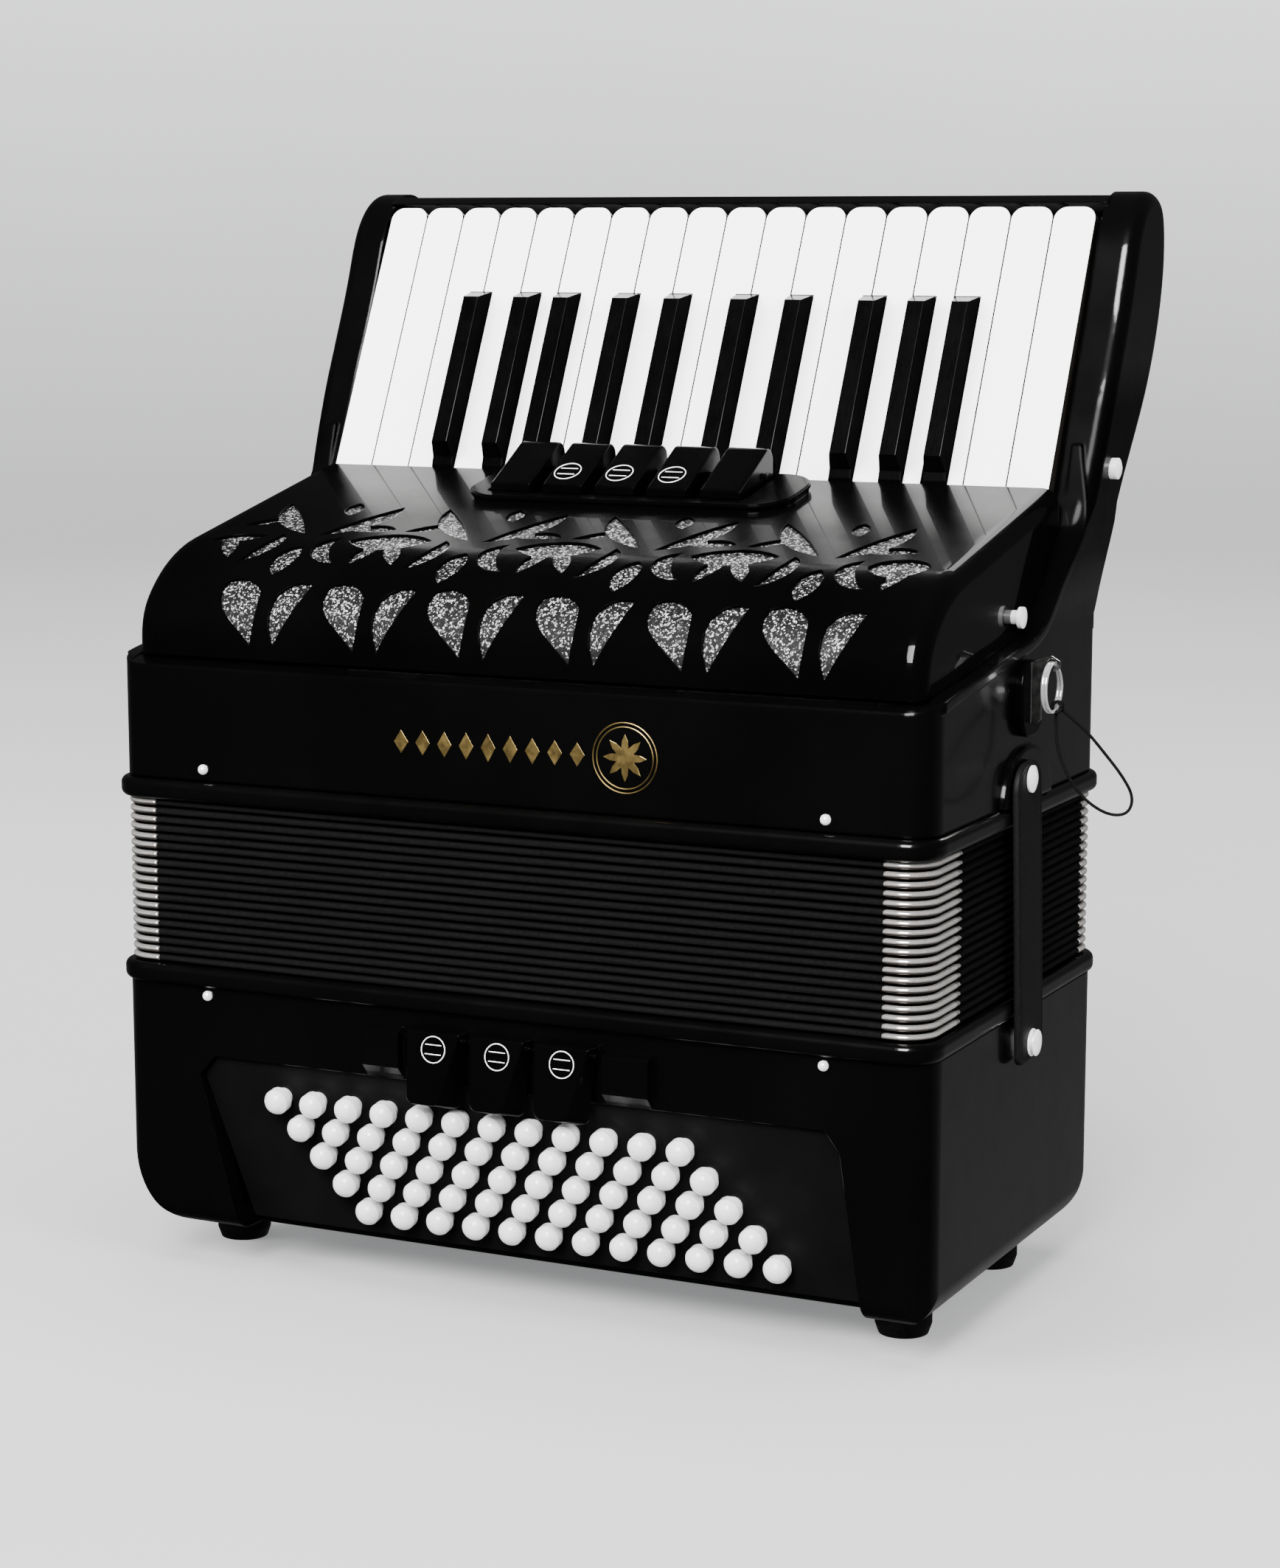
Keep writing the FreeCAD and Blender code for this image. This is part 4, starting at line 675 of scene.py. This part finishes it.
# outline of a guard across the fold: (height, distance out from the ridge)
GUARD_OUTSIDE = [(-1.26, -1.3), (-1.22, -0.7), (-1.04, -0.12), (-0.64, 0.36), (0.0, 0.56),
                 (0.64, 0.36), (1.04, -0.12), (1.22, -0.7), (1.26, -1.3)]
GUARD_INSIDE = [(1.05, -1.3), (1.0, -0.6), (0.75, -0.25), (0.0, 0.05), (-0.75, -0.25),
                (-1.0, -0.6), (-1.05, -1.3)]
SHORT_LEG, LONG_LEG = 17.0, 34.0


def guard_path(x_leg, y_leg):
    """Line round one corner as (x, y, outward x, outward y), from front to side."""
    path = []
    bend_x = BELLOWS_X - BELLOWS_R
    bend_y = BELLOWS_Y - BELLOWS_R
    for step in range(5):
        path.append((BELLOWS_X - x_leg + (x_leg - BELLOWS_R) * step / 5, BELLOWS_Y, 0.0, 1.0))
    for step in range(11):
        angle = math.radians(90 - 9 * step)
        path.append((bend_x + BELLOWS_R * math.cos(angle), bend_y + BELLOWS_R * math.sin(angle),
                     math.cos(angle), math.sin(angle)))
    for step in range(1, 6):
        path.append((BELLOWS_X, bend_y - (y_leg - BELLOWS_R) * step / 5, 1.0, 0.0))
    return path


def make_guards():
    """Four corner guards on every fold, each on its own fold's ridge."""
    section = GUARD_OUTSIDE + GUARD_INSIDE
    last = len(guard_path(SHORT_LEG, LONG_LEG)) - 1
    parts, shares = [], []
    for fold in range(FOLDS):
        for sx in (-1, 1):
            for sy in (-1, 1):
                points = []
                legs = (SHORT_LEG, LONG_LEG) if sy < 0 else (LONG_LEG, SHORT_LEG)
                path = guard_path(*legs)
                for index, (x, y, nx, ny) in enumerate(path):
                    squeeze = 0.8 if index in (0, last) else 1.0
                    for rise, off in section:
                        off = off * squeeze
                        points.append(Vector((sx * (x + nx * off), sy * (y + ny * off),
                                              fold_middle(fold) + rise * squeeze)) * MM)
                faces = ring_faces(0, len(section), len(path))
                faces.append(tuple(range(len(section))))
                faces.append(tuple(last * len(section) + i for i in range(len(section))))
                parts.append((points, faces))
                shares.extend([fold_share(fold)] * len(points))
    points, faces = joined(parts)
    piece = mesh_piece("bellows_corner_guards", points, faces, corner_metal)
    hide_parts("bellows_corners")
    set_travel(piece)


make_guards()


# --------------------------------------------------------------------------
# Glitter cloth stretched behind the grille
# --------------------------------------------------------------------------
def make_cloth():
    """The outer face of the CAD cloth as one thin sheet."""
    source = nodes["grille_cloth"].data
    work = bmesh.new()
    work.from_mesh(source)
    bmesh.ops.remove_doubles(work, verts=work.verts, dist=0.00001)
    work.normal_update()
    rim = [f for f in work.faces if abs(f.normal.x) > 0.9]
    bmesh.ops.delete(work, geom=rim, context="FACES_ONLY")
    inside = []
    hollow_y, hollow_z = -0.03, 0.262
    for face in work.faces:
        middle = face.calc_center_median()
        outward = Vector((0, middle.y - hollow_y, middle.z - hollow_z))
        if face.normal.dot(outward) < 0.0 or abs(face.normal.z + 1) < 0.05:
            inside.append(face)
    bmesh.ops.delete(work, geom=inside, context="FACES")
    mesh = bpy.data.meshes.new("cloth_sheet")
    work.to_mesh(mesh)
    work.free()
    mesh.materials.clear()
    mesh.materials.append(glitter)
    piece = bpy.data.objects.new("glitter_sheet", mesh)
    bpy.context.scene.collection.objects.link(piece)
    return piece


cloth = make_cloth()
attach(cloth, "treble_end")
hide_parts("grille_cloth")


# --------------------------------------------------------------------------
# Straps
# --------------------------------------------------------------------------
def strap_blank(half_wide, up, down, top_curve, low_curve, steps):
    """Outline round a strap with round corners, as (across, along)."""
    outline = []
    for cx, cy, radius, begin in ((half_wide - top_curve, up - top_curve, top_curve, 0),
                                  (top_curve - half_wide, up - top_curve, top_curve, 90),
                                  (low_curve - half_wide, down + low_curve, low_curve, 180),
                                  (half_wide - low_curve, down + low_curve, low_curve, 270)):
        for step in range(steps + 1):
            angle = math.radians(begin + 90 * step / steps)
            outline.append((cx + radius * math.cos(angle), cy + radius * math.sin(angle)))
    return outline


STRAP_HALF = 13.5
STRAP_SHEET = 2.6
STRAP_INNER = 175.9
STRAP_TOP = Vector((STRAP_INNER, -3.8, 208.5))
STRAP_FOOT = Vector((STRAP_INNER, 3.2, 104.8))
STRAP_END = 6.5
# (inset from the edge, height over the inner face): painted edge, crease, crowned middle
STRAP_EDGE = [(0.5, 0.0), (0.12, 0.25), (0.0, 0.7), (0.0, 1.9), (0.14, 2.3), (0.5, 2.52),
              (1.3, 2.6), (1.75, 2.52), (2.05, 2.3), (2.35, 2.52), (2.9, 2.6), (6.0, 2.66)]
# snap fastener as (radius, height over the leather): a rim, a groove and a domed cap
SNAP_SHAPE = [(4.2, -0.4), (5.2, 0.0), (5.45, 0.25), (5.3, 0.6), (4.6, 0.75), (3.1, 0.8), (3.0, 1.5),
              (4.6, 1.6), (5.15, 1.85), (5.2, 2.1), (4.9, 2.45), (4.0, 2.75), (2.6, 2.98),
              (1.2, 3.1), (0.3, 3.14)]


def make_bellows_strap():
    """Leather strap from the treble case down over the bellows, with its snap."""
    length = (STRAP_TOP - STRAP_FOOT).length
    rings = []
    for inset, height in STRAP_EDGE:
        outline = strap_blank(STRAP_HALF - inset, STRAP_END - inset, -length - STRAP_END + inset,
                              max(10.0 - inset, 0.6), max(4.0 - inset, 0.6), 8)
        rings.append([(height, across, along) for across, along in outline])
    count = len(rings[0])
    points = [Vector(p) for ring in rings for p in ring]
    faces = ring_faces(0, count, len(rings))
    faces.append(tuple(range(count))[::-1])
    faces.append(tuple((len(rings) - 1) * count + i for i in range(count)))
    lean = math.atan2(STRAP_FOOT.y - STRAP_TOP.y, STRAP_TOP.z - STRAP_FOOT.z)
    turn = Matrix.Rotation(lean, 3, "X")
    points = [(STRAP_TOP + turn @ p) * MM for p in points]
    piece = mesh_piece("bellows_strap_leather", points, faces, leather)
    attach(piece, "bellows_strap")
    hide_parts("bellows_strap")
    base = (STRAP_TOP + turn @ Vector((STRAP_SHEET, 0, -length))) * MM
    points, faces = lathe([(r * MM, h * MM) for r, h in SNAP_SHAPE], base, (1, 0, 0), 48)
    snap = mesh_piece("strap_snap", points, faces, stud_nickel)
    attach(snap, "bellows_strap")


make_bellows_strap()


HAND_STRAP_HALF = 125.5
# heights of its lower face at the slack middle and at the fixed ends
HAND_STRAP_SLACK, HAND_STRAP_FIXED = 7.2, 14.0
# the rise to the fixed ends begins this far from the middle and takes this long
HAND_STRAP_FLAT, HAND_STRAP_BEND = 86.0, 24.0
# share of the width that the slack middle loses
HAND_STRAP_NARROW = 0.22
# (share of the half width, height) round the section: crowned faces, a crease near each edge
HAND_STRAP_SECTION = [(-1.0, 0.55), (-0.985, 0.2), (-0.95, 0.0), (-0.5, -0.35), (0.0, -0.45),
                      (0.5, -0.35), (0.95, 0.0), (0.985, 0.2), (1.0, 0.55), (1.0, 2.0),
                      (0.985, 2.5), (0.95, 2.7), (0.9, 2.45), (0.86, 2.7), (0.4, 2.95),
                      (0.0, 3.0), (-0.4, 2.95), (-0.86, 2.7), (-0.9, 2.45), (-0.95, 2.7),
                      (-0.985, 2.5), (-1.0, 2.0)]


def make_hand_strap():
    """Padded leather strap under the bass end, slack in the middle."""
    low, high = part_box("hand_strap")
    half_wide = (high.y - low.y) / 2 / MM
    stations = 61
    points = []
    for step in range(stations):
        share = step / (stations - 1)
        along = (2 * share - 1) * HAND_STRAP_HALF
        reach = max(0.0, min(1.0, (abs(along) - HAND_STRAP_FLAT) / HAND_STRAP_BEND))
        smooth = reach * reach * (3 - 2 * reach)
        base = HAND_STRAP_SLACK + (HAND_STRAP_FIXED - HAND_STRAP_SLACK) * smooth
        narrow = 1.0 - HAND_STRAP_NARROW * (1.0 - smooth)
        # a little narrower and thinner than the CAD strap
        for across, rise in HAND_STRAP_SECTION:
            points.append(Vector((along, across * half_wide * narrow * 0.99,
                                  base + 0.05 + rise * 0.95)) * MM)
    count = len(HAND_STRAP_SECTION)
    faces = ring_faces(0, count, stations)
    faces.append(tuple(range(count)))
    faces.append(tuple((stations - 1) * count + i for i in range(count)))
    piece = mesh_piece("hand_strap_leather", points, faces, leather)
    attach(piece, "bass_end")
    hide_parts("hand_strap")


make_hand_strap()


# --------------------------------------------------------------------------
# Split ring for the shoulder strap
# --------------------------------------------------------------------------
SPLIT_RING_CENTRE = Vector((184.5, 1.3, 243.0))
SPLIT_RING_RADIUS = 9.25
SPLIT_RING_WIRE = 0.66


def make_split_ring():
    """Nearly two turns of wire side by side, with a short step from one to the other."""
    coil = []
    steps = 150
    for step in range(steps + 1):
        turn = 2 * math.pi * (0.12 + 1.98 * step / steps)
        shift = max(-SPLIT_RING_WIRE, min(SPLIT_RING_WIRE, (step / steps - 0.5) * 9.0))
        coil.append((SPLIT_RING_CENTRE + Vector((shift, SPLIT_RING_RADIUS * math.sin(turn),
                                                 SPLIT_RING_RADIUS * math.cos(turn)))) * MM)
    points, faces = tube(coil, SPLIT_RING_WIRE * MM, 12)
    piece = mesh_piece("split_ring", points, faces, chrome)
    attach(piece, "strap_ring")
    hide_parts("strap_ring")


make_split_ring()


# --------------------------------------------------------------------------
# Signs on the register tabs: a ring round two bars
# --------------------------------------------------------------------------
SIGN_WIRE = 0.2 * MM


def sign_parts(radius):
    """Tubes of one sign, flat round the origin."""
    circle = [Vector((radius * math.cos(a), radius * math.sin(a), 0))
              for a in [2 * math.pi * i / 36 for i in range(36)]]
    parts = [tube(circle, SIGN_WIRE, 8, closed=True)]
    half = radius * 0.68
    for height in (-0.36, 0.36):
        bar = [Vector((x * half, height * radius, 0)) for x in (-1.0, -0.9, 0.0, 0.9, 1.0)]
        parts.append(tube(bar, SIGN_WIRE * 0.9, 8))
    return parts


def place_sign(name, body, origin, slant, radius):
    """Lays a sign on a tab's face that rises at the angle slant from level."""
    across = Vector((1, 0, 0))
    up = Vector((0, math.cos(slant), math.sin(slant)))
    out = across.cross(up)
    points, faces = joined(sign_parts(radius))
    points = [origin + across * p.x + up * p.y + out * p.z for p in points]
    piece = mesh_piece(name, points, faces, sign_silver)
    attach(piece, body)


# treble tabs: middle and pitch of their row, low front edge of their tops, and their slope
TAB_ROW_MIDDLE = -6.3
TAB_PITCH = 23.4
TAB_FRONT_Y, TAB_FRONT_Z = 15.0, 311.5
TAB_RUN, TAB_RISE = 26.0, 14.8
# from the tab's middle to the sign's, and in from its front edge
TREBLE_SIGN_SHIFT, TREBLE_SIGN_IN = -1.4, 8.6
for number in (2, 3, 4):
    along = TAB_ROW_MIDDLE + (number - 3) * TAB_PITCH + TREBLE_SIGN_SHIFT
    origin = Vector((along, TAB_FRONT_Y + TREBLE_SIGN_IN,
                     TAB_FRONT_Z + TAB_RISE * TREBLE_SIGN_IN / TAB_RUN)) * MM
    place_sign("treble_sign_%d" % number, "treble_register_%d" % number, origin,
               math.atan2(TAB_RISE, TAB_RUN), 5.6 * MM)

# bass tabs: middle and pitch of their row, height of their tops, lean, thickness, and their
# distance from the case
BASS_TAB_MIDDLE = 0.8
BASS_TAB_PITCH = 27.6
BASS_TAB_TOP = 109.7
BASS_TAB_LEAN = math.radians(8.0)
BASS_TAB_THICK = 6.0
BASS_TAB_GAP = 0.5
BASS_SIGN_SHIFT, BASS_SIGN_DOWN = 0.6, 7.3
for number in (1, 2, 3):
    along = (number - 2) * BASS_TAB_PITCH + BASS_TAB_MIDDLE + BASS_SIGN_SHIFT
    face = Vector((along,
                   CASE_FRONT - BASS_TAB_GAP - BASS_TAB_THICK * math.cos(BASS_TAB_LEAN)
                   - BASS_SIGN_DOWN * math.sin(BASS_TAB_LEAN),
                   BASS_TAB_TOP + BASS_TAB_THICK * math.sin(BASS_TAB_LEAN)
                   - BASS_SIGN_DOWN * math.cos(BASS_TAB_LEAN)))
    place_sign("bass_sign_%d" % number, "bass_register_%d" % number, face * MM,
               math.pi / 2 - BASS_TAB_LEAN, 5.1 * MM)


# --------------------------------------------------------------------------
# Plain gold inlay on the front: a row of lozenges and a round star
# --------------------------------------------------------------------------
def flat_inlay(outline, y):
    """A thin closed plate from a flat outline of (x, z), with a small bevelled rim."""
    count = len(outline)
    cx = sum(p[0] for p in outline) / count
    cz = sum(p[1] for p in outline) / count
    points = []
    for shrink, depth in ((1.0, 0.3), (1.0, -0.04), (0.97, -0.09)):
        for x, z in outline:
            points.append(Vector((cx + (x - cx) * shrink, y + depth, cz + (z - cz) * shrink)) * MM)
    faces = ring_faces(0, count, 3)
    faces.append(tuple(range(count)))
    faces.append(tuple(2 * count + i for i in range(count)))
    return points, faces


INLAY_HEIGHT = 220.6
LOZENGES = 9
LOZENGE_FIRST, LOZENGE_PITCH = -43.0, 9.4
LOZENGE_HALF_WIDE, LOZENGE_HALF_TALL = 3.1, 5.4
# what each lozenge's half height loses per place away from the middle one
LOZENGE_DROP = 0.22
STAR_X = 52.0
STAR_RAYS = 8
STAR_REACH, STAR_WAVE = 6.4, 2.6
STAR_RINGS = (11.6, 13.2)


def make_inlay():
    parts = []
    for index in range(LOZENGES):
        x = LOZENGE_FIRST + LOZENGE_PITCH * index
        tall = LOZENGE_HALF_TALL - LOZENGE_DROP * abs(index - LOZENGES // 2)
        lozenge = [(x - LOZENGE_HALF_WIDE, INLAY_HEIGHT), (x, INLAY_HEIGHT - tall),
                   (x + LOZENGE_HALF_WIDE, INLAY_HEIGHT), (x, INLAY_HEIGHT + tall)]
        parts.append(flat_inlay(lozenge, CASE_FRONT))
    star = []
    steps = 4 * STAR_RAYS
    for step in range(steps):
        angle = 2 * math.pi * step / steps
        reach = STAR_REACH + STAR_WAVE * math.cos(STAR_RAYS * angle)
        star.append((STAR_X + reach * math.cos(angle), INLAY_HEIGHT + reach * math.sin(angle)))
    parts.append(flat_inlay(star, CASE_FRONT))
    for radius in STAR_RINGS:
        circle = [Vector((STAR_X + radius * math.cos(2 * math.pi * i / 64), CASE_FRONT,
                          INLAY_HEIGHT + radius * math.sin(2 * math.pi * i / 64))) * MM
                  for i in range(64)]
        parts.append(tube(circle, 0.28 * MM, 8, closed=True))
    points, faces = joined(parts)
    piece = mesh_piece("gold_inlay", points, faces, gold, smooth=False)
    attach(piece, "treble_end")


make_inlay()


# --------------------------------------------------------------------------
# Floor, lights and surroundings
# --------------------------------------------------------------------------
FLOOR_REACH = 3.2
WALL_BEND = 2.4
WALL_TOP = 5.0


def make_studio():
    """Round floor that bends up into a wall, glowing with painted light that grows with height and to
    the right.
    """
    profile = [(0.0, 0.0), (0.6, 0.0), (1.6, 0.0), (FLOOR_REACH, 0.0)]
    for step in range(1, 13):
        angle = math.radians(90 * step / 12)
        profile.append((FLOOR_REACH + WALL_BEND * math.sin(angle),
                        WALL_BEND * (1 - math.cos(angle))))
    profile.append((FLOOR_REACH + WALL_BEND, WALL_TOP))
    turns = 96
    points = [Vector((0, 0, 0))]
    for radius, height in profile[1:]:
        for step in range(turns):
            angle = 2 * math.pi * step / turns
            points.append(Vector((radius * math.cos(angle), radius * math.sin(angle), height)))
    faces = [(0, 1 + i, 1 + (i + 1) % turns) for i in range(turns)]
    faces += ring_faces(1, turns, len(profile) - 1)
    s = Shader("studio_painted_glow", Roughness=0.9, Specular_IOR_Level=0.05,
               Emission_Color=(0.97, 0.985, 1.0, 1.0))
    s.link(s.ramp(s.noise(1.2, 3.0), (0.3, (0.25, 0.25, 0.247)), (0.7, (0.27, 0.27, 0.268))),
           "Base Color")
    # painted light: the emission grows up the wall and towards the right
    height = s.remap(s.axis("Z"), 0.02, 1.6, 0.22, 1.85)
    s.link(s.math("MULTIPLY", height, s.remap(s.axis("X"), -2.5, 2.5, 0.94, 1.3)),
           "Emission Strength")
    floor = mesh_piece("studio_floor", points, faces, s.material)
    floor.visible_glossy = False


make_studio()


def area_light(name, place, size_x, size_y, power, glossy=True):
    """Soft box aimed at the middle of the instrument."""
    data = bpy.data.lights.new(name, "AREA")
    data.shape = "RECTANGLE"
    data.size = size_x
    data.size_y = size_y
    data.energy = power
    lamp = bpy.data.objects.new(name, data)
    lamp.location = place
    aim = Vector((0.0, 0.0, 0.24)) - Vector(place)
    lamp.rotation_euler = aim.to_track_quat("-Z", "Y").to_euler()
    lamp.visible_glossy = glossy
    lamp.visible_camera = False
    bpy.context.scene.collection.objects.link(lamp)


area_light("key_light", (0.35, -2.6, 2.1), 1.3, 1.5, 300.0)
area_light("fill_light", (-2.2, -2.0, 1.8), 1.8, 1.8, 260.0, glossy=False)
area_light("right_light", (2.6, -0.8, 1.6), 1.4, 1.4, 120.0, glossy=False)
area_light("top_light", (0.0, 0.3, 3.2), 2.6, 2.6, 260.0, glossy=False)


def make_world():
    """Dim surroundings that only the reflections see, a little lighter behind and below."""
    world = bpy.data.worlds.new("surroundings")
    bpy.context.scene.world = world
    world.use_nodes = True
    tree = world.node_tree
    tree.nodes.clear()

    def math_node(operation, a, b, clamp=False):
        node = tree.nodes.new("ShaderNodeMath")
        node.operation = operation
        node.use_clamp = clamp
        for socket, value in zip(node.inputs, (a, b)):
            if isinstance(value, bpy.types.NodeSocket):
                tree.links.new(value, socket)
            else:
                socket.default_value = value
        return node.outputs[0]

    direction = tree.nodes.new("ShaderNodeTexCoord").outputs["Generated"]
    split = tree.nodes.new("ShaderNodeSeparateXYZ")
    tree.links.new(direction, split.inputs[0])
    behind = math_node("MULTIPLY", split.outputs["Y"], 1.0, clamp=True)
    below = math_node("MULTIPLY", split.outputs["Z"], -1.0, clamp=True)
    glow = math_node("MULTIPLY", behind,
                     math_node("ADD", math_node("MULTIPLY", below, 0.5), 0.04))
    background = tree.nodes.new("ShaderNodeBackground")
    background.inputs["Color"].default_value = (1.0, 1.0, 1.0, 1.0)
    tree.links.new(math_node("ADD", glow, 0.03), background.inputs["Strength"])
    out = tree.nodes.new("ShaderNodeOutputWorld")
    tree.links.new(background.outputs[0], out.inputs["Surface"])


make_world()
